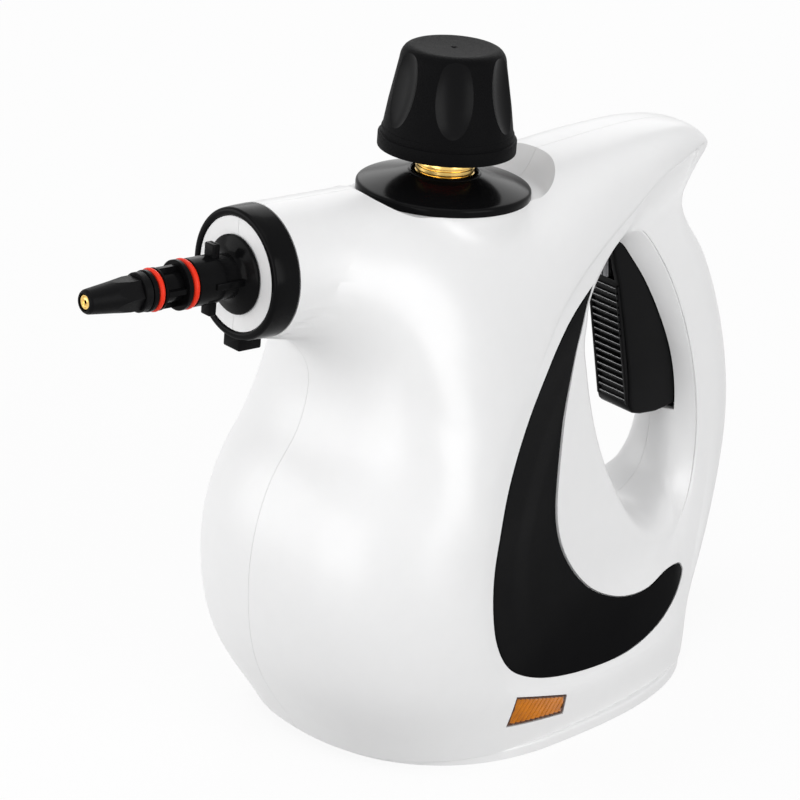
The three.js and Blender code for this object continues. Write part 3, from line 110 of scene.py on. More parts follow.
def new_material(name):
    """A material, its Principled shader and the surface's own coordinates."""
    material = bpy.data.materials.new(name)
    material.use_nodes = True
    tree = material.node_tree
    shader = tree.nodes["Principled BSDF"]
    places = Field(tree, tree.nodes.new("ShaderNodeTexCoord").outputs["Object"])
    return material, shader, places


def wire(shader, socket, field):
    field.tree.links.new(field.socket, shader.inputs[socket])


world = bpy.data.worlds.new("studio")
bpy.context.scene.world = world
world.use_nodes = True


def white_rays(tree):
    """1 for the rays that show the white sweep: the camera's, and those of gloss and glass."""
    rays = tree.nodes.new("ShaderNodeLightPath").outputs
    seen = Field(tree, rays["Is Camera Ray"])
    for kind in ("Is Glossy Ray", "Is Transmission Ray"):
        seen = seen.maths("MAXIMUM", seen, Field(tree, rays[kind]))
    return seen


def mixed_shaders(tree, factor, plain, white, end):
    """Shows the second shader where the factor is 1, and the first elsewhere."""
    mix = tree.nodes.new("ShaderNodeMixShader")
    tree.links.new(factor.socket, mix.inputs[0])
    tree.links.new(plain.outputs[0], mix.inputs[1])
    tree.links.new(white.outputs[0], mix.inputs[2])
    tree.links.new(mix.outputs[0], end.inputs["Surface"])


room = world.node_tree.nodes["Background"]
room.inputs["Color"].default_value = (0.33, 0.33, 0.335, 1)
sweep = world.node_tree.nodes.new("ShaderNodeBackground")
sweep.inputs["Color"].default_value = (1, 1, 1, 1)
world_rays = white_rays(world.node_tree)
mixed_shaders(world.node_tree, world_rays, room, sweep, world.node_tree.nodes["World Output"])

floor_size, floor_drop = 6, 0.0002
bpy.ops.mesh.primitive_plane_add(size=floor_size, location=(0, 0, -floor_drop))
floor = bpy.context.object
floor.name = "floor"
floor_material = bpy.data.materials.new("floor_white")
floor_material.use_nodes = True
floor_tree = floor_material.node_tree
floor_shader = floor_tree.nodes["Principled BSDF"]
floor_shader.inputs["Roughness"].default_value = 0.9
floor_rays = white_rays(floor_tree)
floor_glow_share = 0.90
wire(floor_shader, "Base Color", floor_rays.mixed((0.40, 0.40, 0.40), (0.9, 0.9, 0.9)))
floor_glow = floor_tree.nodes.new("ShaderNodeEmission")
floor_end = floor_tree.nodes["Material Output"]
mixed_shaders(floor_tree, floor_rays * floor_glow_share, floor_shader, floor_glow, floor_end)
floor.data.materials.append(floor_material)

lamps = [
    ("key_lamp", (0.30, -1.65, 0.27), 1.2, 12.6),
    ("side_lamp", (1.60, 0.20, 0.55), 1.1, 15.0),
    ("fill_lamp", (-0.90, -1.20, 0.35), 1.2, 11.0),
    ("top_lamp", (0.10, -0.20, 1.60), 1.4, 6.5),
    ("rear_lamp", (-1.0, 1.0, 0.9), 1.1, 6.0),
]
lamp_aim = Vector((0, 0, 0.12))
for lamp_name, lamp_place, lamp_size, lamp_power in lamps:
    bpy.ops.object.light_add(type="AREA", location=lamp_place)
    lamp = bpy.context.object
    lamp.name = lamp_name
    lamp.data.shape = "SQUARE"
    lamp.data.size = lamp_size
    lamp.data.energy = lamp_power
    lamp.rotation_euler = (lamp_aim - lamp.location).to_track_quat("-Z", "Y").to_euler()


# Body: two moulded halves of white ABS with a satin gloss, 2.8 mm thick, that meet on the middle
# plane and go round the hand opening. They flare into the nozzle's neck and have a round dish
# under the filler. Screws from the right side hold them together.
mm = 0.001
body_length, body_height, body_half_width = 229 * mm, 204 * mm, 66 * mm
shell_wall = 2.8 * mm
fit_gap = 0.3 * mm
station_shares = [
    [[2.3, 0.485, 0.924], [0.14, 0.460, 0.934], [0.26, 0.276, 0.824], [0.262, 0.780]],
    [[2.8, 0.440, 0.974], [0.21, 0.405, 0.930], [0.26, 0.262, 0.824], [0.255, 0.782]],
    [[3.3, 0.360, 0.996], [0.27, 0.345, 0.920], [0.27, 0.250, 0.820], [0.245, 0.780]],
    [[3.4, 0.250, 1.001], [0.33, 0.260, 0.876], [0.28, 0.225, 0.800], [0.228, 0.768]],
    [[3.0, 0.130, 0.999], [0.42, 0.150, 0.822], [0.31, 0.190, 0.765], [0.203, 0.742]],
    [[2.3, 0.000, 1.004], [0.50, 0.060, 0.758], [0.36, 0.156, 0.730], [0.182, 0.712]],
    [[2.1, -0.130, 1.015], [0.61, -0.010, 0.700], [0.41, 0.133, 0.690], [0.165, 0.680]],
    [[2.0, -0.255, 1.012], [0.72, -0.070, 0.655], [0.43, 0.124, 0.655], [0.157, 0.655]],
    [[1.9, -0.325, 0.935], [0.79, -0.115, 0.605], [0.45, 0.125, 0.610], [0.156, 0.615]],
    [[1.9, -0.336, 0.790], [0.85, -0.150, 0.555], [0.47, 0.127, 0.560], [0.158, 0.565]],
    [[2.1, -0.337, 0.680], [0.90, -0.176, 0.500], [0.49, 0.132, 0.510], [0.164, 0.515]],
    [[2.2, -0.361, 0.600], [0.94, -0.193, 0.440], [0.50, 0.142, 0.460], [0.176, 0.465]],
    [[2.25, -0.413, 0.525], [0.96, -0.206, 0.375], [0.51, 0.158, 0.400], [0.195, 0.410]],
    [[2.3, -0.450, 0.420], [0.985, -0.212, 0.300], [0.51, 0.182, 0.345], [0.218, 0.355]],
    [[2.3, -0.462, 0.300], [1.00, -0.205, 0.225], [0.51, 0.205, 0.300], [0.240, 0.310]],
    [[2.3, -0.445, 0.165], [1.00, -0.175, 0.155], [0.50, 0.232, 0.262], [0.265, 0.280]],
    [[2.3, -0.360, 0.000], [1.00, -0.110, 0.120], [0.48, 0.258, 0.235], [0.290, 0.262]],
    [[2.3, -0.200, -0.350], [0.98, -0.020, 0.100], [0.46, 0.280, 0.218], [0.312, 0.257]],
    [[2.3, 0.050, -0.500], [0.94, 0.080, 0.090], [0.44, 0.305, 0.208], [0.330, 0.262]],
    [[2.3, 0.255, -0.380], [0.86, 0.180, 0.085], [0.41, 0.328, 0.202], [0.350, 0.275]],
    [[2.1, 0.322, -0.120], [0.74, 0.265, 0.085], [0.38, 0.350, 0.205], [0.368, 0.295]],
    [[2.1, 0.376, 0.060], [0.56, 0.330, 0.100], [0.34, 0.378, 0.222], [0.381, 0.325]],
    [[2.15, 0.466, 0.170], [0.38, 0.403, 0.165], [0.30, 0.408, 0.262], [0.390, 0.370]],
    [[2.1, 0.522, 0.290], [0.28, 0.452, 0.275], [0.27, 0.428, 0.330], [0.393, 0.430]],
    [[2.1, 0.537, 0.400], [0.26, 0.467, 0.390], [0.26, 0.432, 0.410], [0.392, 0.490]],
    [[2.1, 0.530, 0.510], [0.26, 0.458, 0.500], [0.26, 0.422, 0.505], [0.380, 0.555]],
    [[2.1, 0.508, 0.620], [0.26, 0.436, 0.612], [0.26, 0.398, 0.610], [0.352, 0.625]],
    [[2.1, 0.470, 0.730], [0.26, 0.404, 0.720], [0.26, 0.362, 0.710], [0.314, 0.700]],
    [[2.1, 0.428, 0.800], [0.25, 0.380, 0.790], [0.26, 0.325, 0.780], [0.285, 0.745]],
    [[2.1, 0.410, 0.850], [0.22, 0.385, 0.850], [0.26, 0.300, 0.815], [0.272, 0.768]],
    [[2.1, 0.440, 0.888], [0.17, 0.425, 0.890], [0.26, 0.288, 0.822], [0.266, 0.776]],
]
head_tilt = math.radians(5.3)
head = Matrix.Translation((0, -14.8 * mm, 199.7 * mm)) @ Matrix.Rotation(-head_tilt, 4, "X")
nozzle_drop, nozzle_reach, neck_radius = 19.2 * mm, 93.2 * mm, 23.8 * mm
neck_place = Matrix.Translation((0, -nozzle_reach, -nozzle_drop))
on_nozzle = head @ neck_place @ Matrix.Rotation(math.pi / 2, 4, "X")
flare_radius, flare_overlap, flare_start, flare_fade = 24 * mm, 1.2 * mm, -32 * mm, 30 * mm


def closed_curve(points, count):
    """Places evenly along a smooth closed curve through the points (centripetal Catmull-Rom)."""
    points = np.array(points, float)
    total = len(points)
    made = []
    for i in range(count):
        place = i / count * total
        k = int(place)
        t = place - k
        p0, p1, p2, p3 = (points[(k + n) % total] for n in (-1, 0, 1, 2))
        d0, d1, d2 = (max(np.linalg.norm(b - a) ** 0.5, 1e-4) for a, b in ((p0, p1), (p1, p2), (p2, p3)))
        m1 = ((p1 - p0) / d0 - (p2 - p0) / (d0 + d1) + (p2 - p1) / d1) * d1
        m2 = ((p2 - p1) / d1 - (p3 - p1) / (d1 + d2) + (p3 - p2) / d2) * d1
        a = 2 * p1 - 2 * p2 + m1 + m2
        b = -3 * p1 + 3 * p2 - 2 * m1 - m2
        made.append(((a * t + b) * t + m1) * t + p1)
    return np.array(made)


def eased(rows, steps):
    """Rows of a closed loop, each moved towards the mean of its neighbours, that many times."""
    for _ in range(steps):
        rows = 0.5 * rows + 0.25 * (np.roll(rows, 1, 0) + np.roll(rows, -1, 0))
    return rows


def shares_round(count, shares):
    """A smooth curve of shares round the stations, from those given by number, nought elsewhere."""
    values = [[shares.get(k, 0.0)] for k in range(len(station_shares))]
    return np.clip(closed_curve(values, count)[:, 0], 0, None)


def blended(a, b, width):
    """The larger of two values, rounded over where they are within that width."""
    return np.maximum(a, b) + np.clip(width - np.abs(a - b), 0, None) ** 2 / (4 * width)


ledge_depth, groove_depth, groove_half = 3.0 * mm, 0.55 * mm, 0.4 * mm
grip_shares = dict.fromkeys(range(23, 31), 1)
groove_shares = {21: 0.3, 22: 0.8, **grip_shares, 0: 0.8}
flat_shares = {21: 0.5, 22: 0.8, **grip_shares, 0: 1, 1: 1, 2: 1, 3: 1, 4: 0.8, 5: 0.4}
ledge_shares = {30: 0.1, 0: 0.45, 1: 0.9, 2: 1.0, 3: 1.0, 4: 0.75, 5: 0.4, 6: 0.1}
ledge_rows = np.array([0.8, 1.6, 2.2, 2.5, 2.9, 3.5, 4.3, 5.5]) * mm
ledge_band, ledge_fall, ledge_back, ledge_dip, ledge_curve = 2.3, 1.6, 4.3, 0.12, 1.2
ledge_flank = 14 * mm
seat_radius, seat_floor = 30.9 * mm, -2.5 * mm
shoulder_height, shoulder_slope, shoulder_blend = 4 * mm, 0.0242 / mm, 5 * mm
outline_crowding, ease_steps = 1.25, 12


def dressed_rows(half, crease_row, edge_row, opening):
    """The half section with the fin's ledge after its crease and the handle's groove at its edge."""
    stations = len(half)
    ledge = shares_round(stations, ledge_shares)
    groove = shares_round(stations, groove_shares)
    rows = []
    for s in range(stations):
        flank = half[s, crease_row:edge_row + 1]
        steps = np.concatenate([[0], np.cumsum(np.linalg.norm(np.diff(flank, axis=0), axis=1))])
        length = steps[-1]
        small = min(1, length / ledge_flank)
        plain = np.linspace(ledge_rows[-1] * small, length - groove_half, 10)
        places = np.concatenate([[0], ledge_rows * small, plain[1:], [length]])
        points = np.stack([np.interp(places, steps, flank[:, k]) for k in range(3)], 1)
        q = places / small / mm
        fall = np.clip((q - ledge_band) / ledge_fall, 0, 1) ** ledge_curve
        under = np.where(q < ledge_band, ledge_dip * q / ledge_band, ledge_dip + (1 - ledge_dip) * fall)
        fade_from = ledge_back * mm * small
        back = np.clip((places - fade_from) / max(length - fade_from, 1e-6), 0, 1)
        under *= 0.5 + 0.5 * np.cos(math.pi * back)
        points[:, 0] -= ledge_depth * ledge[s] * under
        inward = opening[s] - flank[-1]
        inward[0] = 0
        inward = inward / np.linalg.norm(inward) + np.array([1.0, 0, 0])
        next_wall = half[s, edge_row + 1] - flank[-1]
        beside = flank[-1] + next_wall / np.linalg.norm(next_wall) * groove_half
        points[-1] -= inward / np.linalg.norm(inward) * groove_depth * groove[s]
        rows.append(np.concatenate([half[s, :crease_row], points, [beside], half[s, edge_row + 1:]]))
    return np.stack(rows)


def skin_grid(stations, outline_count, flank_count, wall_count, outer):
    """Points of the skin: one closed section for each station round the hand opening."""
    size = np.array([body_half_width, body_length, body_height])
    outline = closed_curve([[0, s[0][1], s[0][2]] for s in station_shares], stations) * size
    crease = closed_curve([s[1] for s in station_shares], stations) * size
    edge = closed_curve([s[2] for s in station_shares], stations) * size
    opening = closed_curve([[0, *s[3]] for s in station_shares], stations) * size
    power = 2 / closed_curve([[s[0][0]] for s in station_shares], stations)[:, 0]
    outline, crease, edge, opening = (eased(line, ease_steps) for line in (outline, crease, edge, opening))
    flat = shares_round(stations, flat_shares)
    rows = []
    for i in range(outline_count):
        angle = math.pi / 2 * (1 - (1 - i / outline_count) ** outline_crowding)
        c, s = math.cos(angle) ** power, math.sin(angle) ** power
        point = outline + (crease - outline) * (1 - c)[:, None]
        point[:, 0] = crease[:, 0] * s
        rows.append(point)
    for i in range(flank_count):
        t = i / flank_count
        rows.append(crease + (edge - crease) * (t - 0.5 * t * (1 - t) * (1 - 2 * t)))
    for i in range(wall_count + 1):
        t = i / wall_count
        angle = math.pi / 2 * t
        inwards = math.sin(angle) * (1 - flat) + (1 - (1 - t) ** 2) * flat
        point = edge + (opening - edge) * inwards[:, None]
        point[:, 0] = edge[:, 0] * (math.cos(angle) * (1 - flat) + (1 - t) * flat)
        rows.append(point)
    half = np.stack(rows, 1)
    half[:, [0, -1], 0] = 0
    mirrored = np.array([-1, 1, 1])
    for _ in range(2):
        around = np.concatenate([half[:, 1:2] * mirrored, half, half[:, -2:-1] * mirrored], 1)
        half = 0.5 * half + 0.25 * (around[:, :-2] + around[:, 2:])
    if outer:
        half = dressed_rows(half, outline_count, outline_count + flank_count, opening)
    grid = np.concatenate([half, half[:, -2:0:-1] * mirrored], 1)
    if not outer:
        return grid
    to_head = np.array(head.inverted())
    local = grid @ to_head[:3, :3].T + to_head[:3, 3]
    from_neck = np.hypot(local[..., 0], local[..., 2] + nozzle_drop) - neck_radius
    beside = np.maximum(from_neck + flare_overlap, 0)
    front = np.clip((flare_start - grid[..., 1]) / flare_fade, 0, 1)
    front = front * front * (3 - 2 * front)
    near = np.clip(flare_radius - beside, 0, None)
    grid[..., 1] -= (flare_radius - np.sqrt(flare_radius**2 - near**2)) * front
    local = grid @ to_head[:3, :3].T + to_head[:3, 3]
    away, z = np.maximum(np.hypot(local[..., 0], local[..., 1]), 0.01 * mm), local[..., 2]
    reach = seat_radius - shoulder_slope * np.clip(-z - shoulder_height, 0, None) ** 2
    reach = np.where(z > 0, seat_radius * (1 - (z / shoulder_height) ** 2), reach)
    spread = blended(away, reach, shoulder_blend)
    local[..., :2] *= (spread / away)[..., None]
    from_head = np.array(head)
    return local @ from_head[:3, :3].T + from_head[:3, 3]


def new_piece(name, vertices, edges, faces):
    """A new object at the origin with that mesh."""
    mesh = bpy.data.meshes.new(name)
    mesh.from_pydata([tuple(v) for v in vertices], edges, faces)
    mesh.update()
    piece = bpy.data.objects.new(name, mesh)
    bpy.context.scene.collection.objects.link(piece)
    return piece


def mesh_piece(name, vertices, faces):
    """A new closed piece, its faces turned outwards."""
    piece = new_piece(name, vertices, [], faces)
    shaped = bmesh.new()
    shaped.from_mesh(piece.data)
    if shaped.calc_volume(signed=True) < 0:
        bmesh.ops.reverse_faces(shaped, faces=shaped.faces)
    shaped.to_mesh(piece.data)
    shaped.free()
    return piece


def opened(piece):
    """Opens one piece in edit mode, all of it selected."""
    bpy.ops.object.select_all(action="DESELECT")
    bpy.context.view_layer.objects.active = piece
    piece.select_set(True)
    bpy.ops.object.mode_set(mode="EDIT")
    bpy.ops.mesh.select_all(action="SELECT")
    return piece


def turned_outwards(piece):
    """Turns the faces of an opened piece outwards and leaves edit mode."""
    bpy.ops.mesh.select_all(action="SELECT")
    bpy.ops.mesh.normals_make_consistent(inside=False)
    bpy.ops.object.mode_set(mode="OBJECT")
    return piece


def skin_piece(name, inset=0.0, detail=(372, 30, 16, 12), outer=True):
    """The skin as one closed solid, moved inwards by the inset along its normals."""
    grid = skin_grid(*detail, outer)
    stations, width = grid.shape[:2]
    faces = []
    for s in range(stations):
        n = (s + 1) % stations
        for k in range(width):
            j = (k + 1) % width
            faces.append((s * width + k, n * width + k, n * width + j, s * width + j))
    piece = mesh_piece(name, grid.reshape(-1, 3), faces)
    if inset:
        normals = [v.normal.copy() for v in piece.data.vertices]
        for vertex, normal in zip(piece.data.vertices, normals):
            vertex.co -= inset * normal
    return piece


def combine(piece, tool, operation="DIFFERENCE"):
    """Cuts the tool away, joins it to the piece or keeps what they share, and removes the tool."""
    change = piece.modifiers.new(operation.lower(), "BOOLEAN")
    change.operation, change.object, change.solver = operation, tool, "MANIFOLD"
    change.material_mode = "TRANSFER"
    bpy.context.view_layer.objects.active = piece
    bpy.ops.object.modifier_apply(modifier=change.name)
    bpy.data.objects.remove(tool)
    return piece


def turned(name, profile, axis, steps=96):
    """A turned piece: a closed line of [radius, height] pairs in mm, spun about the axis frame's Z."""
    edges = [(i, i + 1) for i in range(len(profile) - 1)]
    if profile[0][0] > 0 or profile[-1][0] > 0:
        edges.append((len(profile) - 1, 0))
    piece = opened(new_piece(name, [(r * mm, 0, z * mm) for r, z in profile], edges, []))
    bpy.ops.mesh.spin(steps=steps, angle=2 * math.pi, center=(0, 0, 0), axis=(0, 0, 1))
    bpy.ops.mesh.select_all(action="SELECT")
    bpy.ops.mesh.remove_doubles(threshold=0.001 * mm)
    bpy.ops.mesh.dissolve_degenerate(threshold=0.001 * mm)
    turned_outwards(piece).data.transform(axis)
    return piece


def rod(name, radius, low, high, axis, steps=96):
    return turned(name, [(0, low), (radius, low), (radius, high), (0, high)], axis, steps)


def slab(name, low, high, axis=None):
    """A box in mm from its lowest to its highest corner, in the axis frame."""
    bpy.ops.mesh.primitive_cube_add(size=1)
    piece = bpy.context.object
    piece.name = name
    size = [(b - a) * mm for a, b in zip(low, high)]
    middle = [(a + b) / 2 * mm for a, b in zip(low, high)]
    piece.data.transform(Matrix.Translation(middle) @ Matrix.Diagonal((*size, 1)))
    if axis is not None:
        piece.data.transform(axis)
    return piece


def side_plate(name, outline, low, high):
    """A flat outline of [y, z] pairs in mm, extruded from x = low to x = high."""
    corners = [(low * mm, y * mm, z * mm) for y, z in outline]
    piece = opened(new_piece(name, corners, [], [tuple(range(len(outline)))]))
    bpy.ops.mesh.extrude_region_move(TRANSFORM_OT_translate={"value": ((high - low) * mm, 0, 0)})
    return turned_outwards(piece)


def along_x(y, z):
    """The frame of a piece turned about a line through [y, z] along X."""
    return Matrix.Translation((0, y * mm, z * mm)) @ Matrix.Rotation(math.pi / 2, 4, "Y")


def along_y(y, z):
    """The frame of a piece turned about a line through [y, z] along Y, its height from there."""
    return Matrix.Translation((0, y * mm, z * mm)) @ Matrix.Rotation(-math.pi / 2, 4, "X")


def copied(piece, name):
    twin = piece.copy()
    twin.data = piece.data.copy()
    twin.name = name
    bpy.context.scene.collection.objects.link(twin)
    return twin


base_half_width, base_front, base_rear, base_middle = 65.5, 65.5, 94.5, -14.5
base_front_fullness, base_rear_fullness = 2.2, 2.7


def base_prism(name, inset, low, high, top_round=0.0, count=180):
    """The base's outline in mm as a low prism, its upper edge rounded over by rings."""
    rings = [(inset, low), (inset, high - top_round)]
    round_steps = 4 if top_round else 0
    for i in range(1, round_steps + 1):
        a = i / round_steps * math.pi / 2
        rings.append((inset + top_round * (1 - math.cos(a)), high - top_round * (1 - math.sin(a))))
    vertices, faces = [], []
    for ring_inset, z in rings:
        for i in range(count):
            c, s = math.cos(i / count * 2 * math.pi), math.sin(i / count * 2 * math.pi)
            power = 2 / (base_front_fullness if s < 0 else base_rear_fullness)
            reach = (base_front if s < 0 else base_rear) - ring_inset
            x = (base_half_width - ring_inset) * math.copysign(abs(c) ** power, c)
            y = base_middle + reach * math.copysign(abs(s) ** power, s)
            vertices.append((x * mm, y * mm, z * mm))
    for r in range(len(rings) - 1):
        for i in range(count):
            j = (i + 1) % count
            faces.append((r * count + i, r * count + j, (r + 1) * count + j, (r + 1) * count + i))
    faces.append(tuple(range(count))[::-1])
    faces.append(tuple(range((len(rings) - 1) * count, len(rings) * count)))
    return mesh_piece(name, vertices, faces)


far = 500
skirt_height, skirt_step, skirt_round = 4.0, 0.9, 0.9
collar_depth, neck_run, gap = 10.5, 62, 0.3
nose_radius, nose_recess, nose_hole = 20.4, 0.8, 9.8
wall = shell_wall / mm
neck_mm = neck_radius / mm
neck_front_y = -nozzle_reach / mm + collar_depth + gap
dish_radius, dish_width, dish_rise, dish_curve, dish_steps = 32.6, 8.8, 6.2, 2.42, 12
clear_reach, clear_height = 45, 75
lining_detail = (124, 11, 7, 6)


def dish_profile(grow):
    """The cut of the dish round the filler, in mm: its floor, and its side that curves up."""
    floor, radius = seat_floor / mm - grow, dish_radius + grow / 2
    line = [(0, floor)]
    for i in range(dish_steps + 1):
        t = i / dish_steps
        line.append((radius + dish_width * t, floor + dish_rise * t**dish_curve))
    return line + [(radius + clear_reach, clear_height), (0, clear_height)]


def hollow_form(name, inset):
    """The outer form of the body, or its lining at that inset."""
    form = skin_piece(name, inset * mm, lining_detail, False) if inset else skin_piece(name)
    combine(form, slab("neck_front", (-far, -far, -far), (far, neck_front_y + inset, far), head))
    neck = rod("neck", neck_mm - inset, -neck_run, -collar_depth - gap - inset, on_nozzle, 160)
    combine(form, neck, "UNION")
    if inset:
        seat = rod("seat", seat_radius / mm - inset, -16, seat_floor / mm - inset, head, 96)
        combine(form, seat, "UNION")
    combine(form, turned("dish", dish_profile(inset), head, 160))
    return form


body = hollow_form("body", 0)
combine(body, slab("below_skirt", (-far, -far, -far), (far, far, skirt_height - skirt_step)))
combine(body, base_prism("skirt", 0, 0, skirt_height, skirt_round), "UNION")
heel_top, heel_round, heel_out, heel_half_width = 15, 6, 3.4, 61.5
heel = base_prism("heel", -heel_out, skirt_height - 1, heel_top, heel_round)
heel.data.transform(Matrix.Diagonal((heel_half_width / (base_half_width + heel_out), 1, 1, 1)))
combine(body, heel, "UNION")
combine(body, rod("nose", nose_radius, -18, -nose_recess, on_nozzle, 160), "UNION")
lining = hollow_form("lining", wall)
combine(lining, rod("nose_wall", neck_mm, -collar_depth - wall - gap, 0, on_nozzle, 96))
seam_screw_places = [(-86, 48), (-58, 146), (84, 190), (107, 66)]
boss_radius, tunnel_radius, shank_radius, filler_hole_radius = 5, 3.3, 1.7, 11
pivot_place, pin_reach, pin_hole_radius = (62, 172), 16.3, 2.3
for screw_place in [*seam_screw_places, pivot_place]:
    combine(lining, rod("boss", boss_radius, -far, far, along_x(*screw_place), 48))
combine(body, lining)
combine(body, base_prism("base_opening", wall, -1, 9))
for y, z in seam_screw_places:
    combine(body, rod("tunnel", tunnel_radius, -far, -9.7, along_x(y, z), 48))
    combine(body, rod("shank_hole", shank_radius, -11, 9.3, along_x(y, z), 32))
combine(body, rod("nose_bore", nose_hole, -neck_run, 1, on_nozzle, 96))
combine(body, rod("filler_hole", filler_hole_radius, -16, 16, head, 96))
combine(body, rod("pin_hole", pin_hole_radius, -pin_reach, pin_reach, along_x(*pivot_place), 48))
slot_outline = [(55, 120), (55, 168), (80, 168), (92, 147), (100, 124), (103, 100), (103, 85), (78, 85)]
combine(body, side_plate("trigger_slot", slot_outline, -10, 10))
bush_hole_radius, bush_height = 5.3, 21
combine(body, rod("bush_hole", bush_hole_radius, 70, 106, along_y(0, bush_height), 48))


# Crescent panels and indicator lens: let into shallow pockets of the shell, flush with its skin.
# The panels are fine-grained black ABS with a rounded rim, one a side; the lens is amber.
fine_skin = skin_piece("fine_skin", 0, (744, 60, 32, 24))
skin_tree = BVHTree.FromObject(fine_skin, bpy.context.evaluated_depsgraph_get())
bpy.data.objects.remove(fine_skin)
rim_steps = np.array([0, 0.05, 0.15, 0.3, 0.6]) * mm
rim_band, narrow_rim_share, corner_run, outside = rim_steps[-1], 0.3, 3 * mm, 0.2


def with_rims(length, band, count):
    """Places from 0 to the length: close rows in the band at both ends, and even ones between."""
    steps = rim_steps * band / rim_band
    return np.concatenate([steps, np.linspace(band, length - band, count)[1:-1], (length - steps)[::-1]])


def interpolated(places, run, line):
    return np.stack([np.interp(places, run, line[:, k]) for k in (0, 1)], 1)


def inlay(name, near, far_side, side, grow, depth, back, rows=(170, 30)):
    """A sheet let into the skin, between two lines of [y, z] in metres that run the same way.
    depth(to_rim, y, z) is how far its face lies below the skin, back how far its underside does."""
    middle = (near + far_side) / 2
    run = np.concatenate([[0], np.cumsum(np.linalg.norm(np.diff(middle, axis=0), axis=1))])
    length, width = run[-1], np.linalg.norm(far_side - near, axis=1)
    places = with_rims(length, rim_band, rows[0])
    line_a, line_b = (interpolated(places, run, line) for line in (near, far_side))
    wide = np.interp(places, run, width)
    tangent = np.gradient((line_a + line_b) / 2, places, axis=0)
    tangent /= np.linalg.norm(tangent, axis=1)[:, None]
    points = []
    for i, place in enumerate(places):
        offsets = with_rims(wide[i], min(rim_band, wide[i] * narrow_rim_share), rows[1])
        direction = (line_b[i] - line_a[i]) / wide[i]
        ends = min(place, length - place)
        stretch = -grow if place < length / 2 else grow
        for offset in offsets:
            share = offset / wide[i]
            y, z = line_a[i] + direction * (offset + grow * (2 * share - 1))
            y, z = np.array([y, z]) + tangent[i] * stretch * max(0, 1 - ends / corner_run)
            hit, normal = skin_tree.ray_cast(Vector((side * outside, y, z)), Vector((-side, 0, 0)))[:2]
            rims = (min(offset, wide[i] - offset), ends)
            to_rim = math.hypot(*(max(0, rim_band - rim) for rim in rims))
            points.append((hit, normal, max(0, rim_band - to_rim), y, z))
    across_count = len(points) // len(places)
    vertices = [hit - normal * depth(rim, y, z) for hit, normal, rim, y, z in points]
    vertices += [hit - normal * back for hit, normal, rim, y, z in points]
    under, long_count = len(points), len(places)
    faces = []
    for i in range(long_count - 1):
        for k in range(across_count - 1):
            a, b = i * across_count + k, (i + 1) * across_count + k
            faces.append((a, b, b + 1, a + 1))
            faces.append((under + a, under + a + 1, under + b + 1, under + b))
    rim_line = list(range(across_count))
    rim_line += [i * across_count + across_count - 1 for i in range(1, long_count)]
    rim_line += [(long_count - 1) * across_count + k for k in range(across_count - 2, -1, -1)]
    rim_line += [i * across_count for i in range(long_count - 2, 0, -1)]
    for a, b in zip(rim_line, rim_line[1:] + rim_line[:1]):
        faces.append((a, a + under, b + under, b))
    return turned_outwards(opened(mesh_piece(name, vertices, faces)))


def open_curve(points, count):
    """Places evenly along a smooth open curve through the points."""
    points = [2 * points[0] - points[1], *points, 2 * points[-1] - points[-2]]
    points = np.array(points)
    made = []
    for i in range(count):
        place = min(i / (count - 1) * (len(points) - 3), len(points) - 3 - 1e-9)
        k = int(place)
        t = place - k
        p0, p1, p2, p3 = points[k:k + 4]
        a = -p0 + 3 * p1 - 3 * p2 + p3
        b = 2 * p0 - 5 * p1 + 4 * p2 - p3
        made.append(0.5 * (((a * t + b) * t + p2 - p0) * t + 2 * p1))
    return np.array(made)


def matched(line, count):
    """The line again, its places at equal steps of length."""
    run = np.concatenate([[0], np.cumsum(np.linalg.norm(np.diff(line, axis=0), axis=1))])
    return interpolated(np.linspace(0, run[-1], count), run, line)


crescent_outer_shares = [
    [0.166, 0.757], [0.072, 0.710], [-0.017, 0.646], [-0.090, 0.568], [-0.144, 0.485],
    [-0.178, 0.392], [-0.191, 0.310], [-0.185, 0.237], [-0.153, 0.177], [-0.090, 0.138],
    [0.005, 0.114], [0.120, 0.104], [0.230, 0.112], [0.322, 0.133], [0.339, 0.1395], [0.3450, 0.1465],
]
crescent_inner_shares = [
    [0.158, 0.745], [0.103, 0.660], [0.055, 0.567], [0.022, 0.474], [0.007, 0.400],
    [0.014, 0.336], [0.044, 0.272], [0.092, 0.215], [0.153, 0.177], [0.220, 0.163],
    [0.292, 0.166], [0.330, 0.1625], [0.3425, 0.1545],
]
side_size = np.array([body_length, body_height])
crescent_lines = [
    matched(open_curve(np.array(shares) * side_size, 400), 200)
    for shares in (crescent_outer_shares, crescent_inner_shares)
]
panel_thickness, rim_round = 1.3 * mm, 0.55 * mm
crease_from_rim, crease_slope, crease_depth, crease_round = 14 * mm, 0.055, 0.55 * mm, 0.8 * mm
pocket_rise, pocket_gap = 1.5 * mm, 0.28 * mm


def rounded_rim(rim, y, z):
    return rim_round - math.sqrt(max(rim_round**2 - max(rim_round - rim, 0) ** 2, 0))


def creased_face(rim, y, z):
    """A rounded rim, and a face that turns slightly inwards behind a soft crease."""
    away = np.hypot(crescent_lines[0][:, 0] - y, crescent_lines[0][:, 1] - z).min() - crease_from_rim
    turned_in = crease_slope * (away + math.hypot(away, crease_round)) / 2
    return rounded_rim(rim, y, z) + min(turned_in, crease_depth)


def above_skin(rim, y, z):
    return -pocket_rise


panels = {}
for side, panel_name in ((1, "left_crescent"), (-1, "right_crescent")):
    panels[side] = inlay(panel_name, *crescent_lines, side, 0, creased_face, panel_thickness)
    pocket_name, pocket_depth = panel_name + "_pocket", panel_thickness + fit_gap
    pocket = inlay(pocket_name, *crescent_lines, side, pocket_gap, above_skin, pocket_depth, rows=(170, 6))
    combine(body, pocket)

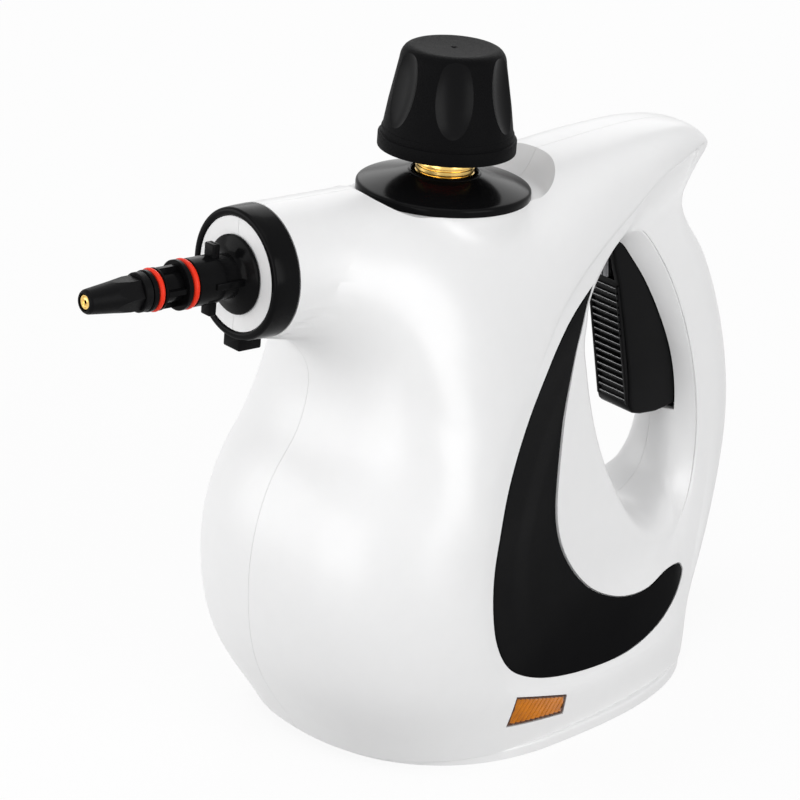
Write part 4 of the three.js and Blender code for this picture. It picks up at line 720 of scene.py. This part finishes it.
lens_corner_shares = [[[-0.150, 0.1255], [-0.165, 0.070]], [[-0.041, 0.088], [-0.048, 0.054]]]
lens_lines = []
for upper, lower in zip(*lens_corner_shares):
    ends = np.array([upper, lower]) * side_size
    lens_lines.append(np.linspace(ends[0], ends[1], 40))
lens_depth, lens_hole_depth, lens_border, lens_edge = 3.4 * mm, 8 * mm, 0.58 * mm, 0.85 * mm
prism_pitch, prism_depth, prism_sink = 2.0 * mm, 0.62 * mm, 0.2 * mm
prism_run, prism_fall = 0.78, 0.62


def lens_face(rim, y, z):
    """A plain border, and inside it prisms that run across the lens."""
    along = ((y * prism_run - z * prism_fall) / prism_pitch) % 1
    prism = prism_depth * (1 - abs(2 * along - 1))
    return rounded_rim(rim, y, z) if rim < lens_border else prism_sink + prism


lens = inlay("lens", *lens_lines, 1, 0, lens_face, lens_depth, rows=(90, 190))
lens_hole = inlay("lens_hole", *lens_lines, 1, pocket_gap, above_skin, lens_hole_depth, rows=(30, 30))
combine(body, lens_hole)
seam_half = 0.07
right_side = slab("right_side", (-far, -far, -far), (seam_half, far, far))
left_half = combine(copied(body, "left_half"), right_side)
left_side = slab("left_side", (-seam_half, -far, -far), (far, far, far))
right_half = combine(body, left_side)
right_half.name = "right_half"


def smooth_shaded(piece, angle=32):
    bpy.ops.object.select_all(action="DESELECT")
    bpy.context.view_layer.objects.active = piece
    piece.select_set(True)
    bpy.ops.object.shade_smooth_by_angle(angle=math.radians(angle))
    return piece


def layered(places, layers):
    """The sum of noises over a surface, each with its grain size in mm, its detail and its share."""
    total = None
    for size, detail, share in layers:
        layer = places.noise(size * mm, detail) * share
        total = layer if total is None else total + layer
    return total


def new_finish(name, shades, tone, rough, bump, specular=0.5, metal=0.0):
    """A material that varies over its surface by layers of noise. Shades are its darkest and
    lightest colour, rough starts with its least value, bump with its strength and height in mm."""
    material, shader, places = new_material(name)
    shader.inputs["Metallic"].default_value = metal
    shader.inputs["Specular IOR Level"].default_value = specular
    wire(shader, "Base Color", layered(places, tone).mixed(*shades))
    wire(shader, "Roughness", rough[0] + layered(places, rough[1:]))
    relief = {"Strength": bump[0], "Distance": bump[1] * mm, "Height": layered(places, bump[2:])}
    wire(shader, "Normal", places.make("ShaderNodeBump", {}, relief))
    return material


white_abs = new_finish(
    "white_abs", ((0.80, 0.80, 0.80), (0.84, 0.84, 0.84)),
    tone=[(40, 2, 0.5), (6, 2, 0.5)],
    rough=[0.24, (14, 4, 0.10), (1.2, 2, 0.05)],
    bump=[0.25, 0.04, (0.45, 3, 0.6), (5, 2, 0.4)],
)
blacks = ((0.0025, 0.0025, 0.0028), (0.0060, 0.0060, 0.0064))
black_grain = new_finish(
    "black_grain", blacks,
    tone=[(20, 2, 0.5), (0.5, 4, 0.5)],
    rough=[0.36, (0.7, 3, 0.16)],
    bump=[0.55, 0.10, (0.42, 4, 0.8), (1.4, 2, 0.2)],
    specular=0.015,
)
amber = new_finish(
    "amber", ((0.30, 0.080, 0.001), (0.76, 0.25, 0.005)),
    tone=[(7, 2, 0.7), (1.2, 3, 0.3)],
    rough=[0.12, (2, 3, 0.12)],
    bump=[0.2, 0.06, (1.8, 3, 1)],
    specular=0.25,
)
amber_edge = new_finish(
    "amber_edge", ((0.030, 0.008, 0.001), (0.12, 0.035, 0.003)),
    tone=[(3, 2, 0.5), (0.8, 3, 0.5)],
    rough=[0.14, (1.5, 3, 0.14)],
    bump=[0.2, 0.06, (1.2, 3, 1)],
)
lens.data.materials.append(amber)
lens.data.materials.append(amber_edge)
lens_rim = np.concatenate([lens_lines[0], lens_lines[1], *(
    np.linspace(lens_lines[0][end], lens_lines[1][end], 30) for end in (0, -1)
)])
for face in lens.data.polygons:
    from_rim = np.hypot(*(lens_rim - np.array(face.center)[1:]).T).min()
    face.material_index = 1 if from_rim < lens_edge else 0


def finished(piece, material, body_name, slot, *nodes, angle=32):
    """Gives a piece its material, shading and body, in place of those CAD nodes. The slot is not used."""
    if not piece.data.materials:
        piece.data.materials.append(material)
    piece.data.materials[0] = material
    smooth_shaded(piece, angle)
    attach(piece, body_name)
    if nodes:
        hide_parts(*nodes)
    return piece


finished(left_half, white_abs, "housing", "white_shell", "left_shell")
finished(right_half, white_abs, "housing", "white_shell", "right_shell")
finished(panels[1], black_grain, "housing", "black_matte", "left_crescent_panel")
finished(panels[-1], black_grain, "housing", "black_matte", "right_crescent_panel")
finished(lens, amber, "housing", "amber_lens", "indicator_lens", angle=12)


# Nozzle collar: a glossy black ring that is pushed over the white nose of the neck, moulded with a
# small index block underneath.
collar_inner, collar_front, collar_lip = nose_radius + gap, 23.0, 0.5
collar_profile = [
    (collar_inner, -collar_depth), (neck_mm - 0.3, -collar_depth), (neck_mm, -collar_depth + 0.35),
    (neck_mm, -collar_depth + 0.9), (neck_mm - 0.08, -5), (collar_front + 0.52, -1.3),
    (collar_front + 0.42, -0.8), (collar_front + 0.18, -0.38), (collar_front - 0.18, -0.12),
    (collar_front - 0.6, 0), (collar_inner + 0.7, 0), (collar_inner + 0.3, -0.12),
    (collar_inner + 0.08, -0.35), (collar_inner, -0.7),
]
collar = turned("collar", collar_profile, on_nozzle, 160)
index_half_width, index_height, index_sink = 4.6, 4.4, 1.5
index_low = (-index_half_width, -collar_front - index_height, -collar_depth)
index_high = (index_half_width, -collar_front + index_sink, -collar_lip)


def bevelled(piece, width, segments=3, angle=40):
    """Rounds a piece's edges with an applied bevel, its width in mm."""
    change = piece.modifiers.new("bevel", "BEVEL")
    change.width, change.segments = width * mm, segments
    change.limit_method, change.angle_limit = "ANGLE", math.radians(angle)
    bpy.context.view_layer.objects.active = piece
    bpy.ops.object.modifier_apply(modifier=change.name)
    return piece


combine(collar, bevelled(slab("index", index_low, index_high, on_nozzle), 0.7), "UNION")

black_gloss = new_finish(
    "black_gloss", blacks,
    tone=[(15, 2, 0.6), (1.5, 4, 0.4)],
    rough=[0.10, (9, 4, 0.10), (0.6, 2, 0.05)],
    bump=[0.14, 0.06, (3.5, 2, 0.7), (0.5, 2, 0.3)],
    specular=0.04,
)
finished(collar, black_gloss, "housing", "black_gloss", "nozzle_collar")


# Spigot: one black moulding with a flange, a cone foot, two bayonet lugs, side ribs, two ring
# grooves and four fins on the stem. Red silicone rings sit in its grooves.
spigot_bore, spigot_end = 2, 38.8
rear_ring_at, rear_ring_radius, rear_ring_half = 22, 7.7, 1.3
front_ring_at, front_ring_radius, front_ring_half = 35.6, 6.6, 1.1
spigot_profile = [
    (spigot_bore, -14), (9.5, -14), (9.5, -0.5), (14.0, -0.5), (14.2, -0.3), (14.2, 0.3), (13.9, 0.6),
    (13.2, 0.8), (12.6, 1.1), (10.4, 1.8), (8.6, 2.6), (8.1, 3.2), (8, 4), (8, 9.5), (8.4, 9.5), (8.6, 9.7),
    (8.6, 20.1), (8.3, 20.4), (6.1, 20.4), (6.1, 23.6), (8.6, 23.6), (8.9, 23.9), (8.9, 25.1), (8.6, 25.4),
    (5.5, 25.4), (5.5, 33.2), (7.2, 33.2), (7.5, 33.5), (7.5, 34.0), (7.3, 34.2), (5.2, 34.2), (5.2, 37.0),
    (7.0, 37.0), (7.3, 37.3), (7.3, 38.4), (6.9, 38.8), (spigot_bore, spigot_end),
]
spigot = turned("spigot", spigot_profile, on_nozzle, 128)
lug_half, lug_root, lug_reach, lug_from, lug_to = 2.5, 6, 13, 8.6, 11.8
for up in (1, -1):
    lug_low = (-lug_half, min(up * lug_root, up * lug_reach), lug_from)
    lug_high = (lug_half, max(up * lug_root, up * lug_reach), lug_to)
    combine(spigot, bevelled(slab("lug", lug_low, lug_high, on_nozzle), 0.5), "UNION")
side_rib_root, side_rib_reach, side_rib_half, side_rib_from, side_rib_to = 6, 9.4, 1.2, 2.0, 14
for across in (1, -1):
    reaches = sorted((across * side_rib_root, across * side_rib_reach))
    rib_low = (reaches[0], -side_rib_half, side_rib_from)
    rib_high = (reaches[1], side_rib_half, side_rib_to)
    combine(spigot, bevelled(slab("side_rib", rib_low, rib_high, on_nozzle), 0.3), "UNION")
fin_reach, fin_half, fin_from, fin_to = 7.5, 0.9, 25.2, 33.3
for fin_x, fin_y in ((fin_reach, fin_half), (fin_half, fin_reach)):
    combine(spigot, slab("fin", (-fin_x, -fin_y, fin_from), (fin_x, fin_y, fin_to), on_nozzle), "UNION")
combine(spigot, rod("bore", spigot_bore, -20, 50, on_nozzle, 48))
finished(spigot, black_gloss, "housing", "black_gloss", "nozzle_spigot")


def ring_profile(radius, half, height, count=24):
    turn = [i / count * 2 * math.pi for i in range(count)]
    return [(radius + half * math.cos(a), height + half * math.sin(a)) for a in turn]


red_silicone = new_finish(
    "red_silicone", ((0.74, 0.020, 0.005), (0.90, 0.042, 0.010)),
    tone=[(8, 2, 0.6), (0.8, 3, 0.4)],
    rough=[0.34, (1.2, 3, 0.14)],
    bump=[0.25, 0.05, (0.5, 3, 1)],
    specular=0.2,
)
rear_profile = ring_profile(rear_ring_radius, rear_ring_half, rear_ring_at)
front_profile = ring_profile(front_ring_radius, front_ring_half, front_ring_at)
ring_rear = turned("ring_rear", rear_profile, on_nozzle, 128)
ring_front = turned("ring_front", front_profile, on_nozzle, 128)
finished(ring_rear, red_silicone, "housing", "red_rubber", "nozzle_ring_rear")
finished(ring_front, red_silicone, "housing", "red_rubber", "nozzle_ring_front")


# Jet tip: a moulded, tapered tip of grained black plastic with six flats for a spanner, and a
# turned brass jet that is pressed in its end.
tip_start, tip_end, tip_collar_end = 39.1, 63.5, 42.3
tip = turned("tip", [
    (0, tip_start), (6.7, tip_start), (7.0, tip_start + 0.3), (7.0, tip_collar_end - 0.5),
    (6.7, tip_collar_end - 0.1), (6.4, tip_collar_end), (6.38, tip_collar_end + 3.4), (5.5, tip_end - 11.1),
    (4.5, tip_end - 2.2), (4.35, tip_end - 1.1), (4.0, tip_end - 0.45), (3.5, tip_end), (0, tip_end),
], on_nozzle, 128)
hex_apothem, flats_length = 5.5, 60
hex_corner = hex_apothem / math.cos(math.pi / 6)
bpy.ops.mesh.primitive_cylinder_add(vertices=6, radius=hex_corner * mm, depth=flats_length * mm)
flats = bpy.context.object
flats.data.transform(Matrix.Rotation(math.radians(30), 4, "Z"))
flats.data.transform(on_nozzle @ Matrix.Translation((0, 0, (tip_collar_end + flats_length / 2) * mm)))
collar_keep = rod("tip_keep", 9, tip_start - 1, tip_collar_end - 0.1, on_nozzle, 96)
combine(flats, collar_keep, "UNION")
combine(tip, flats, "INTERSECT")
combine(tip, rod("tip_bore", spigot_bore, tip_start - 1, tip_end, on_nozzle, 48))
jet_radius, jet_low, jet_high, jet_hole = 2.7, tip_end - 3.0, tip_end - 0.4, 0.7
combine(tip, rod("jet_seat", jet_radius + gap, jet_low - gap, tip_end + 1, on_nozzle, 64))
tip_grain = new_finish(
    "tip_grain", blacks,
    tone=[(3, 2, 0.5), (0.4, 4, 0.5)],
    rough=[0.30, (0.6, 3, 0.22)],
    bump=[0.5, 0.12, (0.5, 4, 1)],
    specular=0.05,
)
finished(tip, tip_grain, "housing", "black_gloss", "jet_tip", angle=9)

jet = turned("jet", [
    (jet_hole, jet_low), (jet_radius, jet_low), (jet_radius, jet_high - 0.25),
    (jet_radius - 0.25, jet_high), (2.0, jet_high), (1.8, jet_high - 0.25), (1.5, jet_high - 0.3),
    (jet_hole + 0.25, jet_high - 0.1), (jet_hole, jet_high - 0.35),
], on_nozzle, 64)
brass, shader, places = new_material("brass")
shader.inputs["Metallic"].default_value = 1.0
tone = places.noise(6 * mm, 3) * 0.6 + places.noise(0.6 * mm, 3) * 0.4
wire(shader, "Base Color", tone.mixed((0.78, 0.49, 0.13), (0.95, 0.68, 0.24)))
wire(shader, "Roughness", 0.14 + places.noise(1.0 * mm, 4) * 0.12)
stretched = places.make("ShaderNodeMapping", {}, {"Vector": places, "Scale": (1, 1, 9)})
lathe_lines = {"Strength": 0.12, "Distance": 0.03 * mm, "Height": stretched.noise(1.6 * mm, 3)}
wire(shader, "Normal", places.make("ShaderNodeBump", {}, lathe_lines))
finished(jet, brass, "housing", "brass", "brass_jet")


# Filler disc and neck: a glossy black cone with a rolled lip over the round seat, and the brass
# neck of the boiler that stands up through it, threaded inside for the cap.
disc_radius, disc_hole, disc_rise = 31.7, 12.1, 5.4
disc = turned("disc", [
    (disc_hole, 3.4), (disc_radius - 1.2, -0.6), (disc_radius - 0.66, -0.8),
    (disc_radius - 0.62, -2.1), (disc_radius - 0.5, -2.35), (disc_radius - 0.28, -2.42),
    (disc_radius - 0.08, -2.3), (disc_radius, -2.05), (disc_radius, -0.4), (disc_radius - 0.07, 0.1),
    (disc_radius - 0.35, 0.5), (disc_radius - 0.9, 0.78), (disc_radius - 1.8, 1.05),
    (25.4, 2.25), (21, 3.35), (17, 4.4), (14.6, 5.05), (13.3, disc_rise - 0.15),
    (13.15, disc_rise + 0.15), (12.9, disc_rise + 0.38), (12.6, disc_rise + 0.45), (12.3, disc_rise + 0.33),
    (12.12, disc_rise + 0.1), (disc_hole, disc_rise - 0.2),
], head, 160)
finished(disc, black_gloss, "housing", "black_gloss", "filler_disc")

neck_outer, neck_inner, neck_low, neck_high = 10.7, 8.0, -13.7, 11.0
thread_steps, thread_pitch, thread_depth, thread_length = 40, 1.5, 0.5, 9
thread = []
for i in range(thread_steps):
    z = neck_high - 1 - i * thread_length / thread_steps
    thread.append((neck_inner - thread_depth * (0.5 - 0.5 * math.cos(z / thread_pitch * 2 * math.pi)), z))
neck_groove = neck_outer - 0.35
filler_neck = turned("filler_neck_brass", [
    (neck_inner, neck_low), (neck_outer, neck_low), (neck_outer, 5.6), (neck_groove, 5.9),
    (neck_groove, 6.3), (neck_outer, 6.6), (neck_outer, 7.7), (neck_groove, 8.0), (neck_groove, 8.4),
    (neck_outer, 8.7), (neck_outer, neck_high - 0.6), (neck_outer - 0.2, neck_high - 0.2),
    (neck_outer - 0.6, neck_high), (neck_inner + 0.5, neck_high), (neck_inner, neck_high - 0.5), *thread,
], head, 96)
finished(filler_neck, brass, "housing", "brass", "filler_neck")


# Pressure cap: a grained black shell with six smooth finger flutes and a stepped flange, over a
# brass plug with its red gasket. The shell is pushed down on its spring and turned.
cap_shell = turned("cap", [
    (0, 14), (24.6, 14), (24.9, 14.1), (25, 14.4), (25, 18.5), (24.93, 18.75), (24.7, 18.9), (24.15, 19.0),
    (24.0, 19.2), (23.9, 20.9), (23.8, 21.2), (23.5, 21.5), (23.42, 21.9), (22.05, 30.8), (20.2, 40.7),
    (19.2, 46), (19.05, 47.2), (18.8, 48.3), (18.35, 49.3), (17.7, 50.2), (17.0, 50.8), (16.2, 51.2),
    (15.4, 51.42), (14.6, 51.5), (13.6, 51.45), (10, 51.3), (3, 51.15), (1.25, 51.15), (1.05, 50.95),
    (0.85, 50.95), (0.6, 51.2), (0.3, 51.3), (0, 51.32),
], head, 192)
cap_grain = new_finish(
    "cap_grain", blacks,
    tone=[(20, 2, 0.5), (0.5, 4, 0.5)],
    rough=[0.40, (0.8, 3, 0.18)],
    bump=[0.9, 0.22, (0.55, 4, 1)],
    specular=0.02,
)
flute_smooth = new_finish(
    "flute_smooth", ((0.0030, 0.0030, 0.0034), (0.0070, 0.0070, 0.0074)),
    tone=[(14, 2, 0.6), (1, 3, 0.4)],
    rough=[0.24, (1.6, 3, 0.12)],
    bump=[0.2, 0.06, (1.1, 3, 1)],
    specular=0.06,
)
cap_shell.data.materials.append(cap_grain)
combine(cap_shell, turned("cap_cavity", [
    (0, 13), (21, 13), (21, 18), (17.8, 22), (13.5, 48), (0, 48),
], head, 96))
flute_surface, flute_depth, flute_section, flute_middle = 20.6, 2.4, 5, 38.3
flute_half_width, flute_half_height = 9.6, 17
cap_side_low, cap_side_high = (23.42, 21.9), (19.2, 46)
flute_lean = -math.atan2(cap_side_low[0] - cap_side_high[0], cap_side_high[1] - cap_side_low[1])
flute_count, flute_first = 6, 53
flute_size = (flute_half_width * mm, flute_section * mm, flute_half_height * mm, 1)
flute_place = (0, -(flute_surface - flute_depth + flute_section) * mm, flute_middle * mm)
for i in range(flute_count):
    bpy.ops.mesh.primitive_uv_sphere_add(segments=96, ring_count=64, radius=1)
    flute = bpy.context.object
    flute.data.transform(Matrix.Diagonal(flute_size))
    flute.data.transform(Matrix.Translation(flute_place) @ Matrix.Rotation(flute_lean, 4, "X"))
    turn = math.radians(flute_first + i * 360 / flute_count)
    flute.data.transform(head @ Matrix.Rotation(turn, 4, "Z"))
    flute.data.materials.append(flute_smooth)
    combine(cap_shell, flute)
combine(cap_shell, turned("cap_boss", [(5.3, 24), (8, 24), (8, 49), (5.3, 49)], head, 64), "UNION")
finished(cap_shell, cap_grain, "cap_grip", "black_matte", "cap_shell", angle=24)

plug = turned("plug", [
    (1.5, -8), (6.9, -8), (7.7, -7.2), (7.7, 13.2), (11.6, 13.2), (12, 13.6), (12, 15.6), (11.6, 16),
    (5, 16), (5, 37.6), (4.6, 38), (1.5, 38),
], head, 96)
finished(plug, brass, "cap_screw", "brass", "cap_plug")
gasket = turned("gasket", [
    (8.0, 11.3), (10.2, 11.3), (10.5, 11.6), (10.5, 12.6), (10.2, 12.9), (8.0, 12.9),
], head, 96)
finished(gasket, red_silicone, "sealing_ring", "red_rubber", "cap_gasket")


# Trigger: a black lever on a steel pin in the handle's front, with ribs for the fingers across
# its face and a lock slide of dull aluminium above them. A return spring pushes it forwards.
trigger_outline = [
    (60.5, 158), (62, 150), (64, 143), (66.8, 126), (69.5, 108), (70.5, 92), (71, 90.2), (72.2, 88.9),
    (76, 87.6), (84, 86.5), (91, 87), (95.6, 87.6), (97, 88.8), (97.4, 92), (97.4, 96), (96, 104),
    (92.5, 121), (86, 138), (79, 151), (73, 164), (66, 176), (58, 176),
]
trigger_half = 9.5
trigger = bevelled(side_plate("trigger_lever", trigger_outline, -trigger_half, trigger_half), 1.1, 4, 50)
arm_low, arm_high = (-4, 54, 166), (4, 66, 193)
combine(trigger, slab("arm", arm_low, arm_high), "UNION")
face_low, face_high = (70.5, 92), (64, 143)


def face_y(z):
    share = (z - face_low[1]) / (face_high[1] - face_low[1])
    return face_low[0] + share * (face_high[0] - face_low[0])


rib_count, rib_first, rib_last = 17, 94.0, 141.2
rib_half_width, rib_half, rib_proud, rib_root = 7.4, 0.45, 0.6, 1
rail_start, rail_end, rail_proud = 92.6, 142.6, 0.7
rail_outline = [
    (face_y(rail_start) - rail_proud, rail_start), (face_y(rail_start) + rib_root, rail_start),
    (face_y(rail_end) + rib_root, rail_end), (face_y(rail_end) - rail_proud, rail_end),
]
for rail_low, rail_high in ((-8.6, -7.2), (7.0, 8.6)):
    combine(trigger, bevelled(side_plate("rail", rail_outline, rail_low, rail_high), 0.35, 3), "UNION")
face_lean = math.atan2(face_low[0] - face_high[0], face_high[1] - face_low[1])
dimple_count, dimple_x, dimple_radius = 7, 7.85, 0.5
for i in range(dimple_count):
    z = rib_last - (i + 0.5) * (rib_last - rib_first) / (rib_count - 1)
    dimple_place = Matrix.Translation((dimple_x * mm, (face_y(z) - rail_proud) * mm, z * mm))
    dimple_axis = dimple_place @ Matrix.Rotation(math.pi / 2 - face_lean, 4, "X")
    combine(trigger, rod("dimple", dimple_radius, -1, 0.6, dimple_axis, 16))
trigger_black = new_finish(
    "trigger_black", blacks,
    tone=[(12, 2, 0.5), (0.6, 4, 0.5)],
    rough=[0.24, (0.8, 3, 0.14)],
    bump=[0.4, 0.08, (0.5, 4, 1)],
    specular=0.06,
)
# Rib highlight: a light grey painted highlight on the upper bevel of each rib, where the light catches its
# edge.
rib_painted_highlight = new_finish(
    "rib_painted_highlight", ((0.30, 0.30, 0.305), (0.60, 0.60, 0.61)),
    tone=[(3, 2, 0.5), (0.4, 3, 0.5)],
    rough=[0.22, (0.8, 3, 0.16)],
    bump=[0.2, 0.04, (0.5, 2, 1)],
)
trigger.data.materials.append(trigger_black)
for i in range(rib_count):
    z = rib_first + i * (rib_last - rib_first) / (rib_count - 1)
    rib_low = (-rib_half_width, face_y(z) - rib_proud, z - rib_half)
    rib_high = (rib_half_width, face_y(z) + rib_root, z + rib_half)
    rib = bevelled(slab("rib", rib_low, rib_high), 0.24, 2)
    rib.data.materials.append(trigger_black)
    rib.data.materials.append(rib_painted_highlight)
    # The bevel faces that face forwards and up carry the painted highlight.
    for face in rib.data.polygons:
        painted_highlight_face = face.normal.y < -0.2 and face.normal.z > 0.2 and abs(face.normal.x) < 0.1
        face.material_index = 1 if painted_highlight_face else 0
    combine(trigger, rib, "UNION")
combine(trigger, rod("trigger_bore", pin_hole_radius, -20, 20, along_x(*pivot_place), 48))
lock_low, lock_high, lock_deep, lock_slot_half = 145.2, 154, 8, 6.8
lock_y = face_y(lock_low)
lock_slot_high = (lock_slot_half, lock_y + lock_deep + gap, lock_high + gap)
combine(trigger, slab("lock_slot", (-lock_slot_half, 0, lock_low - gap), lock_slot_high))
combine(trigger, rod("spring_pocket", 5, 0, 20, along_y(90, 100), 48))
finished(trigger, trigger_black, "trigger_lever", "black_matte", "trigger")

lock_bar_low, lock_bar_high = (-6.5, lock_y - 1, lock_low), (3.5, lock_y + lock_deep, lock_high)
lock = bevelled(slab("lock_bar", lock_bar_low, lock_bar_high), 0.5, 3)
lock_groove_count, lock_groove_first, lock_groove_pitch, lock_groove_width = 4, -5, 1.8, 0.7
for i in range(lock_groove_count):
    groove_x = lock_groove_first + i * lock_groove_pitch
    groove_high = (groove_x + lock_groove_width, lock_y - 0.6, lock_high + 1)
    combine(lock, slab("lock_groove", (groove_x, lock_y - 2, lock_low - 1), groove_high))
brushed, shader, places = new_material("brushed_aluminium")
shader.inputs["Metallic"].default_value = 1.0
stretched = places.make("ShaderNodeMapping", {}, {"Vector": places, "Scale": (0.08, 1, 1)})
tone = stretched.noise(0.5 * mm, 4) * 0.7 + places.noise(10 * mm) * 0.3
wire(shader, "Base Color", tone.mixed((0.14, 0.14, 0.145), (0.34, 0.34, 0.35)))
wire(shader, "Roughness", 0.26 + stretched.noise(0.4 * mm, 3) * 0.22)
brush_lines = {"Strength": 0.35, "Distance": 0.04 * mm, "Height": stretched.noise(0.4 * mm, 3)}
wire(shader, "Normal", places.make("ShaderNodeBump", {}, brush_lines))
finished(lock, brushed, "lock_slide", "aluminium", "trigger_lock")


# Springs: three coils of steel wire, of the cap's safety grip, the trigger and the steam valve.
# Each is wound cold from one wire and rests between its two seats.
def plain_finish(name, shades, rough, size, metal=0.0):
    """A finish with one grain size in mm for its tone, its roughness and its bump."""
    return new_finish(
        name, shades, tone=[(9, 2, 0.5), (size, 4, 0.5)], rough=[rough, (size, 3, 0.18)],
        bump=[0.4, 0.08, (size, 4, 1)], metal=metal,
    )


def coil(name, radius, wire, low, high, turns, place):
    """One wound wire from low to high along the Z axis of that place, in mm."""
    wire_sides, turn_steps = 12, 32
    bpy.ops.mesh.primitive_circle_add(vertices=wire_sides, radius=wire * mm, fill_type="NGON")
    ring = bpy.context.object
    across = np.array([corner.co for corner in ring.data.vertices])[:, :2] / mm
    bpy.ops.object.delete()
    points, faces = [], []
    steps = turns * turn_steps
    for i in range(steps + 1):
        turn = i / turn_steps * 2 * math.pi
        rise = low + wire + i / steps * (high - low - 2 * wire)
        for out, up in across:
            reach = radius + out
            points.append((reach * math.cos(turn) * mm, reach * math.sin(turn) * mm, (rise + up) * mm))
    for i in range(steps):
        for k in range(wire_sides):
            a, b = i * wire_sides + k, i * wire_sides + (k + 1) % wire_sides
            faces.append((a, b, b + wire_sides, a + wire_sides))
    faces.append(tuple(range(wire_sides)))
    faces.append(tuple(steps * wire_sides + k for k in range(wire_sides)))
    piece = turned_outwards(opened(new_piece(name, points, [], faces)))
    piece.data.transform(place)
    return piece


steel = plain_finish("zinc_steel", ((0.48, 0.48, 0.49), (0.66, 0.66, 0.67)), 0.24, 0.6, 1.0)
# Name, [radius, wire, low, high, turns], place, fixed end, body, CAD node, joint and its travel.
springs = [
    ("cap_coil", (7, 0.7, 16.3, 23.7, 3), head, 16.3, "cap_screw", "cap_spring", "cap_press", 2.5),
    ("trigger_coil", (3.4, 0.6, 90.3, 116.1, 7), along_y(0, 99.96), 116.1,
     "housing", "trigger_spring", "trigger_hinge", 8.8),
    ("valve_coil", (3.6, 0.5, 29.3, 39.6, 6), along_y(0, 188), 29.3,
     "housing", "valve_spring", "steam_plunger_slide", 2.0),
]
for coil_name, coil_shape, place, fixed_end, body_name, node_name, joint_name, travel in springs:
    spring = finished(coil(coil_name, *coil_shape, place), steel, body_name, "steel", node_name)
    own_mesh(spring)


# Everything inside and below, from the boiler to the screws and feet, keeps its CAD solid and gets
# the finish of its record slot.
slot_finish = {
    "black_matte": black_grain,
    "red_rubber": red_silicone,
    "brass": brass,
    "steel": steel,
    "dark_rubber": plain_finish("dark_rubber", ((0.010, 0.010, 0.010), (0.022, 0.022, 0.022)), 0.55, 0.6),
    "grey_rubber": plain_finish("grey_rubber", ((0.10, 0.10, 0.105), (0.16, 0.16, 0.165)), 0.60, 0.7),
    "aluminium": plain_finish("cast_aluminium", ((0.50, 0.50, 0.51), (0.70, 0.70, 0.71)), 0.38, 1.1, 1.0),
    "copper_tube": plain_finish("copper", ((0.66, 0.28, 0.16), (0.86, 0.44, 0.28)), 0.24, 1.0, 1.0),
    "ceramic_grey": plain_finish("ceramic", ((0.52, 0.51, 0.48), (0.64, 0.63, 0.60)), 0.50, 0.9),
}
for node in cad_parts.values():
    if not node.hide_render:
        node.data.materials[0] = slot_finish[node.data.materials[0].name]
